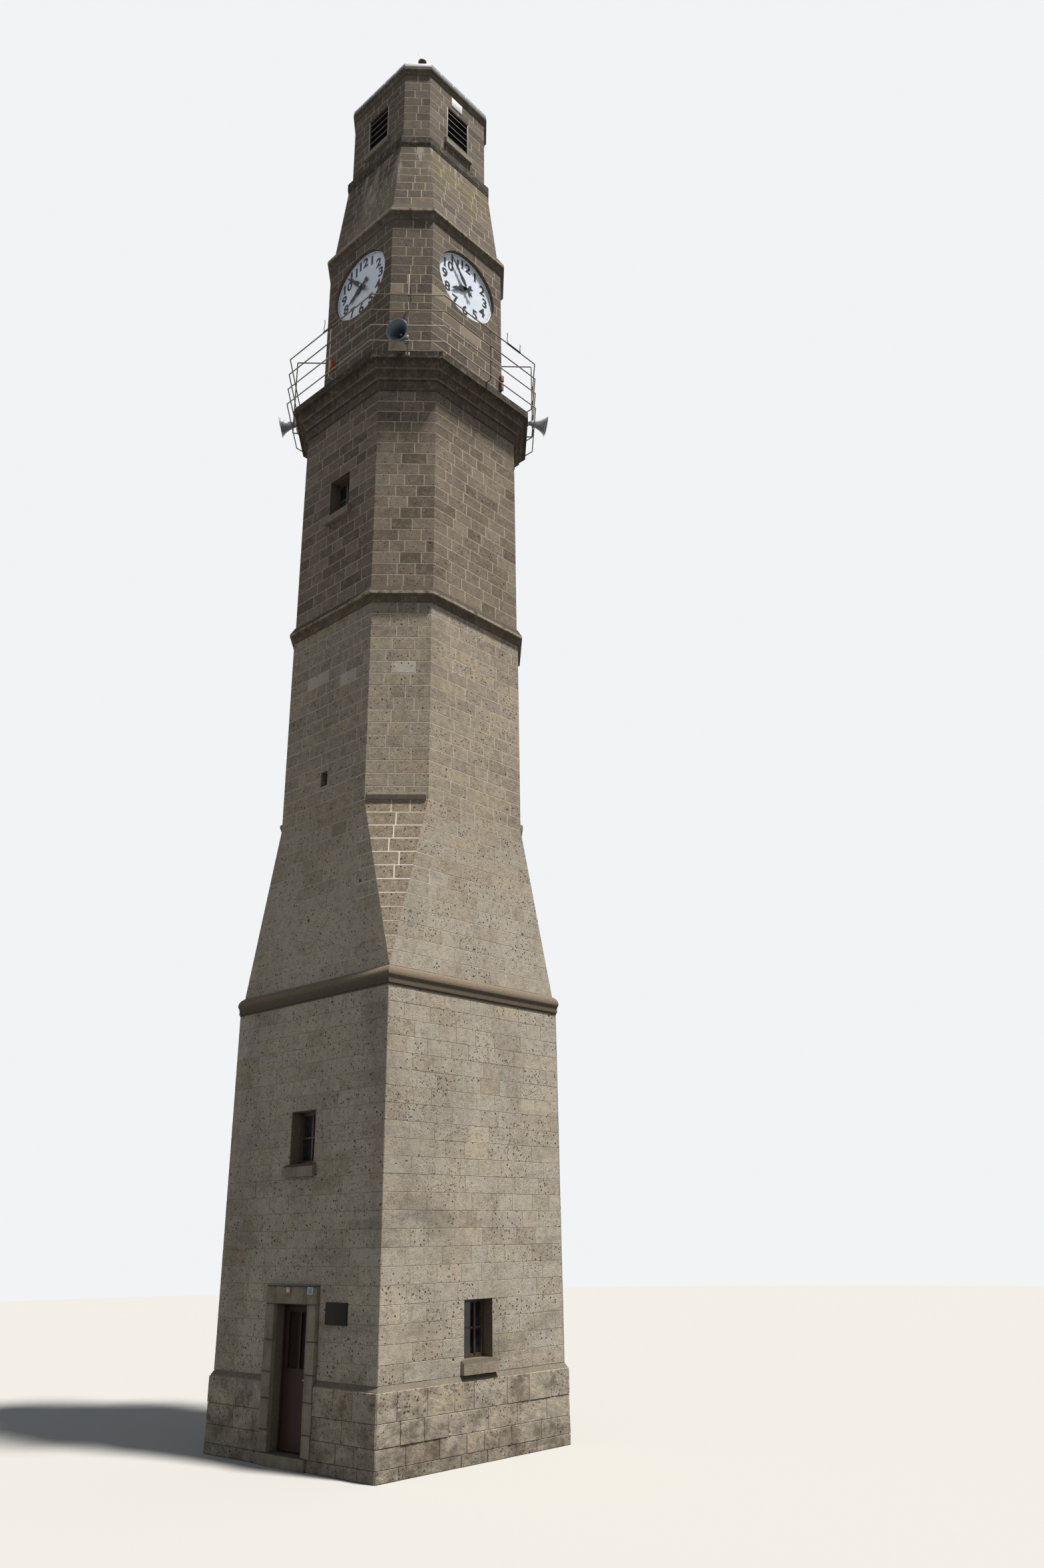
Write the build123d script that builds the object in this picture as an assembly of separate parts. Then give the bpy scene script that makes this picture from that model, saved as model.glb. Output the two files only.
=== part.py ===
from build123d import *
import math
import os

# A stone clock tower in millimetres: +Z up, the door on the -Y side,
# and the origin at the centre of the base's underside.

# Levels above the lowest ground
FLOOR_TOP = 160
PLINTH_TOP = 1114
PLINTH_WEATHERING = 68
BASE_STRING_Z = 6844
BROACH_Z = 7164
SHAFT_1_Z = 10190
STRING_2_Z = 14106
SHAFT_2_Z = 14462
CORNICE_Z = 19002
SLAB_EDGE_Z = 19595
SLAB_TOP = 19760
STRING_3_Z = 23890
TAPER_Z = 24424
STRING_4_Z = 26478
BELFRY_Z = 26900
TOP_CORNICE_Z = 28900
ROOF_Z = 29118

# Plan sizes: half the width across the main faces, and half the length of a main face
BASE_HALF = 2000
BROACH_SETBACK = 39
BROACH_HALF = BASE_HALF - BROACH_SETBACK
SHAFT_1_EDGE = 1179
SHAFT_2_HALF = BROACH_HALF + 4
SHAFT_2_EDGE = 1149
CLOCK_HALF = 1693
CLOCK_EDGE = 1070
TAPER_HALF = 1640
TAPER_EDGE = 1009
TAPER_TOP_HALF = 1409
TAPER_TOP_EDGE = 945
BELFRY_HALF = 1334
BELFRY_EDGE = 909

# Wall thicknesses
BASE_WALL = 800
BROACH_WALL = 700
SHAFT_WALL = 500
CLOCK_WALL = 450
TAPER_WALL = 350
BELFRY_WALL = 300

# Projections of the mouldings
PLINTH_PROJECTION = 40
BASE_STRING_PROJECTION = 42
BROACH_STRING_PROJECTION = 50
BROACH_STRING_HEIGHT = 140
STRING_2_PROJECTION = 90
STRING_3_PROJECTION = 88
STRING_4_PROJECTION = 28
SLAB_PROJECTION = 312
STRING_FILLET = 42
CORNICE_FASCIA = (30, 238)
CORNICE_FILLET = (65, 288)
CORNICE_COVE = (140, 398)
CORNICE_STEP = (165, 458)
CORNICE_DRIP = 50
TOP_CORNICE_PROJECTION = 64

# Door
DOOR_HALF = 415
DOOR_HEAD = 2195
JAMB_WIDTH = 213
LINTEL_HALF = DOOR_HALF + JAMB_WIDTH
LINTEL_HEIGHT = 257
SURROUND_PROJECTION = 60
THRESHOLD_HALF = 535
THRESHOLD_PROJECTION = 100
FRAME_RECESS = 140
FRAME_DEPTH = 60
FRAME_FACE = 39
LEAF_GAP = 8
LEAF_THICKNESS = 50
PANE_STILE = 90
PANE_BAR = 50
PANE_LOW = 1290
PANE_TOP_RAIL = 70
PANE_THICKNESS = 6
HANDLE_SETBACK = 70
HANDLE_Z = 1150
LEVER_REACH = 120
LEVER_STAND = 50
LEVER_HALF = 9
LEVER_TAIL = 12
HANDLE_PLATE_HALF = 22
HANDLE_PLATE_THICKNESS = 4
HANDLE_PLATE_DROP = 140
HANDLE_PLATE_RISE = 80
HINGE_PIN_RADIUS = 6
HINGE_BARREL_RADIUS = 10
HINGE_KNUCKLE = 45
HINGE_RUNNING_GAP = 0.1
HINGE_ARM = 12
HINGE_HEIGHTS = (420, 1150, 1880)

# Windows: centre across the wall, half width, foot and head
BASE_WINDOW = (0, 313, 4243, 5061)
SIDE_WINDOW = (5, 308, 1386, 2220)
UPPER_WINDOW = (36, 305, 16660, 17487)
WINDOW_RECESS = 200
WINDOW_FRAME = 55
WINDOW_FRAME_DEPTH = 70
GLASS_THICKNESS = 6
SILL_OVERHANG = 75
SILL_HEIGHT = 150
SILL_WEATHERING = 50
SILL_PROJECTION = 80

# Plaque, small plates and the outlet hole
PLAQUE = (1050, 249, 1929, 2235)
PLAQUE_THICKNESS = 25
LINTEL_PLATES = (-60, 480)
LINTEL_PLATE_HALF = 55
LINTEL_PLATE_Z = 2340
LINTEL_PLATE_HEIGHT = 80
PLATE_THICKNESS = 8
BELFRY_PLATE = (-213, 133, 28552, 28824)
OUTLET = (12, 98, 10752, 11040)

# Dials and hands
DIAL_Z = 22775
DIAL_RADIUS = 845
DIAL_RECESS_RADIUS = 850
DIAL_RECESS = 95
DIAL_SIDES = 36
BOSS_SIDES = 12
DIAL_THICKNESS = 12
ARBOR_RADIUS = 16
ARBOR_RUNNING_GAP = 0.1
HAND_THICKNESS = 6
HOUR_BOSS = (18, 36)
MINUTE_BOSS = (44, 62)
ARBOR_CAP = (67, 77)
BOSS_RADIUS = 42
MINUTE_REACH = 715
MINUTE_WIDTH = 38
HOUR_REACH = 505
HOUR_WIDTH = 56
TAIL_REACH = 225
TAIL_STEM_WIDTH = 18
CRESCENT_RADIUS = 46
CRESCENT_BITE = (66, 40)
CRESCENT_SIDES = 12
HAND_TIMES = ((7, 53), (7, 54), (7, 53), (7, 53))

# Belfry openings
LOUVRE = (0, 353, 27315, 28385)
LOUVRE_FRAME = 25
LOUVRE_RECESS = 12
LOUVRE_DEPTH = 120
LOUVRE_SLATS = 5
SLAT_OFFSET = 0.75
SLAT_THICKNESS = 12
SLAT_TILT = 40

# Roof and finial
ROOF_OVERHANG = 50
ROOF_EDGE = 110
ROOF_RISE = 1022
ROOF_THICKNESS = 80
MAST_RADIUS = 24
MAST_HEIGHT = 1250
DOME_RADIUS = 110
DOME_STEPS = 4
FINIAL_SIDES = 16
ROD_RADIUS = 8
ROD_HEIGHT = 400

# Railing
RAIL_STAND = 143
RAIL_HALF = SHAFT_2_HALF + SLAB_PROJECTION + RAIL_STAND
RAIL_EDGE = 1370
RAIL_RADIUS = 13
TUBE_SIDES = 6
RAIL_HEIGHTS = (19850, 20250, 20645, 21050)
POST_RADIUS = 15
POST_FOOT_HALF = RAIL_HALF - 290
BRACKET_TOP = 21630
BRACKET_FOOT_Z = 19670

# Horns on the corner brackets
HORN_MOUTH_RADIUS = 230
HORN_THROAT_RADIUS = 45
HORN_LENGTH = 400
HORN_WALL = 4
HORN_STEPS = 6
HORN_SIDES = 12
HORN_FLARE = 4.2
HORN_NECK_STEP = 4
HORN_PLUG_LENGTH = 92
HORN_PLUG_RADIUS = 24
HORN_DRIVER_LIP = 12
HORN_DRIVER_LENGTH = 90
HORN_STAND = 293
HORN_Z = 19900
HORN_DROOP = 13
HORN_SIDE = 85
HORN_TURNS = (22, 0, 0, 0)
CLAMP_HALF = 24
CLAMP_LOW = 42
CLAMP_HIGH = 120

# Service boxes: across, foot and head, and depth
DOOR_FACE_BOX = (-800, -730, 20845, 21060)
DOOR_FACE_BOX_DEPTH = 100
RIGHT_FACE_BOX = (985, 1060, 20745, 20900)
RIGHT_FACE_BOX_DEPTH = 80
LOWER_BOX = (1000, 1055, 20510, 20700)
LOWER_BOX_DEPTH = 70

OCTAGON_MITRE = math.tan(math.radians(22.5))
SQUARE_MITRE = 1
RADIAL_SQUARE = math.sqrt(2)
FACES = range(4)


def block(x0, x1, y0, y1, z0, z1):
    return Pos((x0 + x1) / 2, (y0 + y1) / 2, (z0 + z1) / 2) * Box(x1 - x0, y1 - y0, z1 - z0)


def rounded(radius, height, sides=12):
    """A many-sided bar about the Z axis, flat to flat its full width."""
    return Pos(0, 0, -height / 2) * extrude(RegularPolygon(radius, sides, major_radius=False), height)


def faceted_turning(section, sides):
    """A closed section (radius, along) run round the Y axis in flat facets."""
    faces = []
    for i in range(sides):
        here = 2 * math.pi * i / sides
        there = 2 * math.pi * (i + 1) / sides
        for j, (r0, y0) in enumerate(section):
            r1, y1 = section[(j + 1) % len(section)]
            corners = [(r0 * math.cos(here), y0, r0 * math.sin(here)), (r1 * math.cos(here), y1, r1 * math.sin(here))]
            if r1 > 0:
                corners.append((r1 * math.cos(there), y1, r1 * math.sin(there)))
            if r0 > 0:
                corners.append((r0 * math.cos(there), y0, r0 * math.sin(there)))
            if len(corners) > 2:
                faces.append(Face(Wire.make_polygon(corners)))
    return Solid(Shell(faces))


def turned(shape, quarter, corner=False):
    """A piece of the door side turned to another main face, or to a chamfer."""
    return Rot(0, 0, 90 * quarter + (45 if corner else 0)) * shape


def chamfer_face(half, edge):
    """Distance from the axis and half length of the chamfer of an octagon."""
    return (half + edge) / RADIAL_SQUARE, (half - edge) / RADIAL_SQUARE


def sector(apothem, half_length, depth, reach, mitre, low, high):
    """The space that one mitred piece of a ring may fill."""
    near = half_length - mitre * depth
    far = half_length + mitre * reach
    plan = Polyline(
        (-near, -apothem + depth),
        (near, -apothem + depth),
        (far, -apothem - reach),
        (-far, -apothem - reach),
        close=True,
    )
    return Pos(0, 0, low) * extrude(make_face(plan), high - low)


def course(outline, apothem, half_length, depth, mitre):
    """One side of a ring: a section drawn as (outwards, up), run along the face and mitred."""
    plane = Plane(origin=(0, -apothem, 0), x_dir=(0, -1, 0), z_dir=(-1, 0, 0))
    section = plane * make_face(outline)
    box = section.bounding_box()
    reach = -box.min.Y - apothem + 10
    run = extrude(section, half_length + mitre * max(reach, 0) + 20, both=True)
    return run & sector(apothem, half_length, depth, reach, mitre, box.min.Z - 1, box.max.Z + 1)


def octagon_ring(outline, half, edge, depth):
    """Main-face pieces and chamfer pieces of one octagonal ring."""
    main = course(outline, half, edge, depth, OCTAGON_MITRE)
    far, length = chamfer_face(half, edge)
    corner = course(outline, far, length, depth, OCTAGON_MITRE)
    mains = [turned(main, k) for k in FACES]
    corners = [turned(corner, k, corner=True) for k in FACES]
    return mains, corners


def rectangle_section(depth, low, high):
    return Polyline((-depth, low), (0, low), (0, high), (-depth, high), close=True)


def between(lower, upper):
    """A solid between two level outlines with the same number of corners."""
    count = len(lower)
    faces = [Face(Wire.make_polygon(lower)), Face(Wire.make_polygon(upper))]
    for i in range(count):
        j = (i + 1) % count
        faces.append(Face(Wire.make_polygon([lower[i], lower[j], upper[j], upper[i]])))
    return Solid(Shell(faces))


def save(name, *solids):
    os.makedirs("parts", exist_ok=True)
    shape = solids[0] if len(solids) == 1 else Compound(children=[Part() + s for s in solids])
    export_step(shape, "parts/" + name + ".step")


# Base


def base_section():
    """Plinth, wall and moulded string of the square base."""
    z = BASE_STRING_Z
    fillet = BASE_STRING_PROJECTION / 3.5
    lip = BASE_STRING_PROJECTION
    inset = BROACH_HALF - BASE_HALF
    roll_foot = z + 160
    wall = Polyline(
        (-BASE_WALL, BROACH_Z),
        (-BASE_WALL, 0),
        (PLINTH_PROJECTION, 0),
        (PLINTH_PROJECTION, PLINTH_TOP),
        (0, PLINTH_TOP + PLINTH_WEATHERING),
        (0, z),
        (fillet, z),
        (fillet, z + 28),
        (2 * fillet, z + 28),
        (2 * fillet, z + 56),
    )
    cove = ThreePointArc((2 * fillet, z + 56), (2.3 * fillet, z + 125), (lip, roll_foot))
    roll = ThreePointArc((lip, roll_foot), (lip * 0.6, roll_foot + 100), (inset, BROACH_Z))
    back = Line((inset, BROACH_Z), (-BASE_WALL, BROACH_Z))
    return wall + cove + roll + back


def window_hole(window, apothem, depth):
    centre, half, low, high = window
    return block(centre - half, centre + half, -apothem - 200, -apothem + depth + 50, low, high)


def make_base():
    side = course(base_section(), BASE_HALF, BASE_HALF, BASE_WALL, SQUARE_MITRE)
    front = side
    reach = 2 * BASE_HALF
    jambs = block(-DOOR_HALF - JAMB_WIDTH, DOOR_HALF + JAMB_WIDTH, -reach, -BASE_HALF, FLOOR_TOP, DOOR_HEAD)
    step = block(-THRESHOLD_HALF, THRESHOLD_HALF, -reach, -BASE_HALF, 0, FLOOR_TOP)
    front = front - jambs - step
    inner = -BASE_HALF + BASE_WALL
    left = front & block(-reach, -DOOR_HALF, -reach, inner + 10, 0, BROACH_Z)
    right = front & block(DOOR_HALF, reach, -reach, inner + 10, 0, BROACH_Z)
    centre = front & block(-DOOR_HALF, DOOR_HALF, -reach, inner + 10, DOOR_HEAD, BROACH_Z)
    centre = centre - window_hole(BASE_WINDOW, BASE_HALF, BASE_WALL)
    save("door_wall_left", left)
    save("door_wall_right", right)
    save("door_wall_centre", centre)
    pier_left = side & block(-reach, SIDE_WINDOW[0] - SIDE_WINDOW[1], -reach, inner + 10, 0, BROACH_Z)
    pier_right = side & block(SIDE_WINDOW[0] + SIDE_WINDOW[1], reach, -reach, inner + 10, 0, BROACH_Z)
    middle = side & block(
        SIDE_WINDOW[0] - SIDE_WINDOW[1],
        SIDE_WINDOW[0] + SIDE_WINDOW[1],
        -reach,
        inner + 10,
        0,
        BROACH_Z,
    )
    below = middle & block(-reach, reach, -reach, inner + 10, 0, SIDE_WINDOW[2])
    above = middle & block(-reach, reach, -reach, inner + 10, SIDE_WINDOW[3], BROACH_Z)
    save("right_wall", *[turned(piece, 1) for piece in (pier_left, pier_right, below, above)])
    save("back_wall", turned(side, 2))
    save("left_wall", turned(side, 3))
    room = BASE_HALF - BASE_WALL
    floor = block(-room, room, -room, room, 0, FLOOR_TOP)
    passage = block(-DOOR_HALF, DOOR_HALF, -BASE_HALF, -room, 0, FLOOR_TOP)
    save("ground_floor", floor + passage)
    front_of_step = -BASE_HALF - THRESHOLD_PROJECTION
    save("threshold", block(-THRESHOLD_HALF, THRESHOLD_HALF, front_of_step, -BASE_HALF, 0, FLOOR_TOP))


def make_door():
    face = -BASE_HALF
    outer = DOOR_HALF + JAMB_WIDTH
    front = face - SURROUND_PROJECTION
    left = block(-outer, -DOOR_HALF, front, face, FLOOR_TOP, DOOR_HEAD)
    right = block(DOOR_HALF, outer, front, face, FLOOR_TOP, DOOR_HEAD)
    lintel = block(-LINTEL_HALF, LINTEL_HALF, front, face, DOOR_HEAD, DOOR_HEAD + LINTEL_HEIGHT)
    save("door_surround", left + right + lintel)

    low = FLOOR_TOP
    frame_front = face + FRAME_RECESS
    frame_back = frame_front + FRAME_DEPTH
    clear = DOOR_HALF - FRAME_FACE
    frame = block(-DOOR_HALF, DOOR_HALF, frame_front, frame_back, low, DOOR_HEAD)
    frame = frame - block(-clear, clear, frame_front - 1, frame_back + 1, low - 1, DOOR_HEAD - FRAME_FACE)

    leaf_half = clear - LEAF_GAP
    leaf_front = frame_front + 5
    leaf_back = leaf_front + LEAF_THICKNESS
    leaf_low = low + LEAF_GAP
    leaf_high = DOOR_HEAD - FRAME_FACE - LEAF_GAP
    leaf = block(-leaf_half, leaf_half, leaf_front, leaf_back, leaf_low, leaf_high)
    pane_high = leaf_high - PANE_TOP_RAIL
    pane_outer = leaf_half - PANE_STILE
    pane_inner = PANE_BAR / 2
    middle = (leaf_front + leaf_back) / 2
    panes = []
    for x0, x1 in ((-pane_outer, -pane_inner), (pane_inner, pane_outer)):
        leaf = leaf - block(x0, x1, leaf_front - 1, leaf_back + 1, PANE_LOW, pane_high)
        half_pane = PANE_THICKNESS / 2
        panes.append(block(x0, x1, middle - half_pane, middle + half_pane, PANE_LOW, pane_high))
    save("door_panes", *panes)

    hinge_x, hinge_y = hinge_axis()
    ring = HINGE_KNUCKLE / 2
    for z in HINGE_HEIGHTS:
        foot = z - 1.5 * HINGE_KNUCKLE
        pin = Pos(hinge_x, hinge_y, z) * Cylinder(HINGE_PIN_RADIUS, 3 * HINGE_KNUCKLE)
        fixed_plate = block(-DOOR_HALF + 8, hinge_x, frame_back, frame_back + 5, foot, foot + 3 * HINGE_KNUCKLE)
        middle = block(-DOOR_HALF, hinge_x + 30, frame_back - 20, frame_back + 40, z - ring - 1, z + ring + 1)
        barrels = Pos(hinge_x, hinge_y, z) * rounded(HINGE_BARREL_RADIUS, 3 * HINGE_KNUCKLE)
        frame = frame + ((barrels + fixed_plate) - middle) + pin
        bore = HINGE_PIN_RADIUS + HINGE_RUNNING_GAP
        knuckle = Pos(hinge_x, hinge_y, z) * rounded(HINGE_BARREL_RADIUS, HINGE_KNUCKLE)
        arm = block(hinge_x, hinge_x + 60, leaf_back, leaf_back + HINGE_ARM, z - ring, z + ring)
        knuckle = knuckle + arm - Pos(hinge_x, hinge_y, z) * Cylinder(bore, 4 * HINGE_KNUCKLE)
        leaf = leaf + knuckle
    save("door_frame", frame)
    save("door_leaf", leaf)

    grip_x = leaf_half - HANDLE_SETBACK
    lever_y = leaf_front - LEVER_STAND
    plate_low = HANDLE_Z - HANDLE_PLATE_DROP
    plate_high = HANDLE_Z + HANDLE_PLATE_RISE
    plate_front = leaf_front - HANDLE_PLATE_THICKNESS
    half = HANDLE_PLATE_HALF
    plate = block(grip_x - half, grip_x + half, plate_front, leaf_front, plate_low, plate_high)
    stem = Pos(grip_x, leaf_front - LEVER_STAND / 2, HANDLE_Z) * Rot(90, 0, 0) * rounded(LEVER_HALF, LEVER_STAND)
    low = HANDLE_Z - LEVER_HALF
    high = HANDLE_Z + LEVER_HALF
    lever = block(grip_x - LEVER_REACH, grip_x + LEVER_TAIL, lever_y - 5, lever_y + 8, low, high)
    save("door_handle", plate + stem + lever)


def hinge_axis():
    """The pins stand in the gap between leaf and frame, behind the leaf."""
    frame_back = -BASE_HALF + FRAME_RECESS + FRAME_DEPTH
    gap_middle = -(DOOR_HALF - FRAME_FACE) + LEAF_GAP / 2
    return gap_middle, frame_back + 5 + HINGE_BARREL_RADIUS - 5


# Plates, sills and windows


def sill(window, apothem):
    centre, half, low, high = window
    wide = half + SILL_OVERHANG
    foot = low - SILL_HEIGHT - SILL_WEATHERING
    section = Polyline(
        (0, foot),
        (SILL_PROJECTION, foot),
        (SILL_PROJECTION, low - SILL_WEATHERING),
        (0, low),
        close=True,
    )
    plane = Plane(origin=(centre, -apothem, 0), x_dir=(0, -1, 0), z_dir=(-1, 0, 0))
    return extrude(plane * make_face(section), wide, both=True)


def window_frame(window, apothem):
    centre, half, low, high = window
    front = -apothem + WINDOW_RECESS
    back = front + WINDOW_FRAME_DEPTH
    frame = block(centre - half, centre + half, front, back, low, high)
    pane = block(
        centre - half + WINDOW_FRAME,
        centre + half - WINDOW_FRAME,
        front - 1,
        back + 1,
        low + WINDOW_FRAME,
        high - WINDOW_FRAME,
    )
    middle = (low + high) / 2
    bar = block(centre - half, centre + half, front + 10, back - 10, middle - 15, middle + 15)
    return frame - pane + bar


def window_panes(window, apothem):
    centre, half, low, high = window
    middle_y = -apothem + WINDOW_RECESS + WINDOW_FRAME_DEPTH / 2
    middle_z = (low + high) / 2
    wide = half - WINDOW_FRAME
    y0 = middle_y - GLASS_THICKNESS / 2
    y1 = middle_y + GLASS_THICKNESS / 2
    lower = block(centre - wide, centre + wide, y0, y1, low + WINDOW_FRAME, middle_z - 15)
    upper = block(centre - wide, centre + wide, y0, y1, middle_z + 15, high - WINDOW_FRAME)
    return [lower, upper]


def make_openings():
    windows = ((BASE_WINDOW, BASE_HALF, 0), (SIDE_WINDOW, BASE_HALF, 1), (UPPER_WINDOW, SHAFT_2_HALF, 0))
    frames = []
    glass = []
    sills = []
    for window, apothem, quarter in windows:
        frames.append(turned(window_frame(window, apothem), quarter))
        glass += [turned(pane, quarter) for pane in window_panes(window, apothem)]
        sills.append(turned(sill(window, apothem), quarter))
    sills += [turned(sill(LOUVRE, BELFRY_HALF), k) for k in FACES]
    save("window_frames", *frames)
    save("window_glass", *glass)
    save("sills", *sills)

    centre, half, low, high = PLAQUE
    save("plaque", block(centre - half, centre + half, -BASE_HALF - PLAQUE_THICKNESS, -BASE_HALF, low, high))
    front = -BASE_HALF - SURROUND_PROJECTION
    low = LINTEL_PLATE_Z - LINTEL_PLATE_HEIGHT / 2
    high = LINTEL_PLATE_Z + LINTEL_PLATE_HEIGHT / 2
    half = LINTEL_PLATE_HALF
    plates = [block(x - half, x + half, front - PLATE_THICKNESS, front, low, high) for x in LINTEL_PLATES]
    x0, x1, low, high = BELFRY_PLATE
    plates.append(turned(block(x0, x1, -BELFRY_HALF - PLATE_THICKNESS, -BELFRY_HALF, low, high), 1))
    save("small_plates", *plates)


# Broach


def make_broach():
    a = BROACH_HALF
    c = SHAFT_1_EDGE
    foot = [(-a, -a), (a, -a), (a, a), (-a, a)]
    head = [(-c, -a), (c, -a), (a, -c), (a, c), (c, a), (-c, a), (-a, c), (-a, -c)]
    lower = [(x, y, BROACH_Z) for x, y in foot]
    upper = [(x, y, SHAFT_1_Z) for x, y in head]
    faces = [Face(Wire.make_polygon(lower)), Face(Wire.make_polygon(upper))]
    for k in range(4):
        left, right = lower[k], lower[(k + 1) % 4]
        u = upper[2 * k]
        v = upper[2 * k + 1]
        w = upper[(2 * k + 2) % 8]
        faces.append(Face(Wire.make_polygon([left, right, v, u])))
        faces.append(Face(Wire.make_polygon([right, w, v])))
    body = Solid(Shell(faces))
    side = course(rectangle_section(BROACH_WALL, BROACH_Z, SHAFT_1_Z), a, a, BROACH_WALL, SQUARE_MITRE)
    walls = [turned(side, k) & body for k in FACES]
    save("broach_faces", walls[0], walls[2])
    save("broach_sides", walls[1], walls[3])

    far, length = chamfer_face(a, c)
    z = SHAFT_1_Z
    lip = BROACH_STRING_PROJECTION
    tall = BROACH_STRING_HEIGHT
    section = Polyline((0, z), (lip * 0.4, z), (lip, z + tall * 0.5), (lip, z + tall * 0.8), (0, z + tall), close=True)
    bead = course(section, far, length, 0, -1)
    save("broach_strings", *[turned(bead, k, corner=True) for k in FACES])


# Shafts, strings and cornices


def hollow(start, end, sag):
    """A concave quarter of a moulding from start up to end, hollowed towards the wall."""
    middle_out = (start[0] + end[0]) / 2 - sag
    middle_up = (start[1] + end[1]) / 2 + sag
    return ThreePointArc(start, (middle_out, middle_up), end)


def string_2_section():
    """A weathered drip moulding: fillet, cavetto, lip and sloping top."""
    z = STRING_2_Z
    lip = STRING_2_PROJECTION
    fillet = lip * 0.25
    inset = SHAFT_2_HALF - BROACH_HALF
    cavetto_foot = z + STRING_FILLET
    cavetto_head = z + 0.42 * (SHAFT_2_Z - STRING_2_Z)
    lip_top = z + 0.55 * (SHAFT_2_Z - STRING_2_Z)
    foot = Polyline((-SHAFT_WALL, SHAFT_2_Z), (-SHAFT_WALL, z), (fillet, z), (fillet, cavetto_foot))
    cavetto = hollow((fillet, cavetto_foot), (lip * 0.8, cavetto_head), 14)
    top = Polyline(
        (lip * 0.8, cavetto_head),
        (lip, cavetto_head),
        (lip, lip_top),
        (inset, SHAFT_2_Z),
        (-SHAFT_WALL, SHAFT_2_Z),
    )
    return foot + cavetto + top


def string_3_section():
    """Below the tapering stage: fillet, deep cavetto, lip and weathering."""
    z = STRING_3_Z
    lip = STRING_3_PROJECTION
    fillet = lip * 0.2
    cavetto_foot = z + STRING_FILLET
    cavetto_head = z + 0.38 * (TAPER_Z - STRING_3_Z)
    lip_top = z + 0.5 * (TAPER_Z - STRING_3_Z)
    foot = Polyline((-CLOCK_WALL, TAPER_Z), (-CLOCK_WALL, z), (fillet, z), (fillet, cavetto_foot))
    cavetto = hollow((fillet, cavetto_foot), (lip * 0.85, cavetto_head), 18)
    top = Polyline(
        (lip * 0.85, cavetto_head),
        (lip, cavetto_head),
        (lip, lip_top),
        (TAPER_HALF - CLOCK_HALF, TAPER_Z),
        (-CLOCK_WALL, TAPER_Z),
    )
    return foot + cavetto + top


def string_4_section():
    z = STRING_4_Z
    p = STRING_4_PROJECTION
    return Polyline(
        (-TAPER_WALL, z),
        (p * 0.4, z),
        (p, z + 90),
        (p, z + 270),
        (BELFRY_HALF - TAPER_TOP_HALF, BELFRY_Z),
        (-TAPER_WALL, BELFRY_Z),
        close=True,
    )


def cornice_section():
    """Stepped balcony cornice: fascia, fillet, cove, step, cyma and the slab's edge."""
    z = CORNICE_Z
    lip = SLAB_PROJECTION
    depth = SHAFT_2_HALF - CLOCK_HALF + CLOCK_WALL
    fascia, fascia_head = CORNICE_FASCIA
    fillet, fillet_head = CORNICE_FILLET
    cove, cove_head = CORNICE_COVE
    step, step_head = CORNICE_STEP
    foot = Polyline(
        (-depth, SLAB_TOP),
        (-depth, z),
        (fascia, z),
        (fascia, z + fascia_head),
        (fillet, z + fascia_head),
        (fillet, z + fillet_head),
    )
    lower = hollow((fillet, z + fillet_head), (cove, z + cove_head), 16)
    middle = Polyline((cove, z + cove_head), (step, z + cove_head), (step, z + step_head))
    upper = hollow((step, z + step_head), (lip - CORNICE_DRIP, SLAB_EDGE_Z), 20)
    top = Polyline(
        (lip - CORNICE_DRIP, SLAB_EDGE_Z),
        (lip, SLAB_EDGE_Z),
        (lip, SLAB_TOP),
        (-depth, SLAB_TOP),
    )
    return foot + lower + middle + upper + top


def top_cornice_section():
    z = TOP_CORNICE_Z
    lip = TOP_CORNICE_PROJECTION
    fillet_head = z + 0.28 * (ROOF_Z - z)
    cove_head = z + 0.62 * (ROOF_Z - z)
    foot = Polyline((-BELFRY_WALL, ROOF_Z), (-BELFRY_WALL, z), (lip * 0.3, z), (lip * 0.3, fillet_head))
    cove = hollow((lip * 0.3, fillet_head), (lip, cove_head), 9)
    top = Polyline((lip, cove_head), (lip, ROOF_Z), (-BELFRY_WALL, ROOF_Z))
    return foot + cove + top


def make_shafts():
    depth = SHAFT_WALL
    mains, corners = octagon_ring(rectangle_section(depth, SHAFT_1_Z, STRING_2_Z), BROACH_HALF, SHAFT_1_EDGE, depth)
    centre, half, low, high = OUTLET
    outlet = block(centre - half, centre + half, -BROACH_HALF - 50, -BROACH_HALF + depth + 50, low, high)
    mains[0] = mains[0] - outlet
    save("shaft_1_faces", *mains)
    save("shaft_1_corners", *corners)

    mains, corners = octagon_ring(rectangle_section(depth, SHAFT_2_Z, CORNICE_Z), SHAFT_2_HALF, SHAFT_2_EDGE, depth)
    mains[0] = mains[0] - window_hole(UPPER_WINDOW, SHAFT_2_HALF, depth)
    save("shaft_2_faces", *mains)
    save("shaft_2_corners", *corners)


def make_strings():
    rings = (
        (string_2_section(), BROACH_HALF, SHAFT_1_EDGE, SHAFT_WALL),
        (string_3_section(), CLOCK_HALF, CLOCK_EDGE, CLOCK_WALL),
        (string_4_section(), TAPER_TOP_HALF, TAPER_TOP_EDGE, TAPER_WALL),
        (top_cornice_section(), BELFRY_HALF, BELFRY_EDGE, BELFRY_WALL),
    )
    mains = []
    corners = []
    for section, half, edge, depth in rings:
        ring_mains, ring_corners = octagon_ring(section, half, edge, depth)
        mains += ring_mains
        corners += ring_corners
    save("string_faces", *mains)
    save("string_corners", *corners)

    depth = SHAFT_2_HALF - CLOCK_HALF + CLOCK_WALL
    mains, corners = octagon_ring(cornice_section(), SHAFT_2_HALF, SHAFT_2_EDGE, depth)
    save("cornice_faces", *mains)
    save("cornice_corners", *corners)


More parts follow.
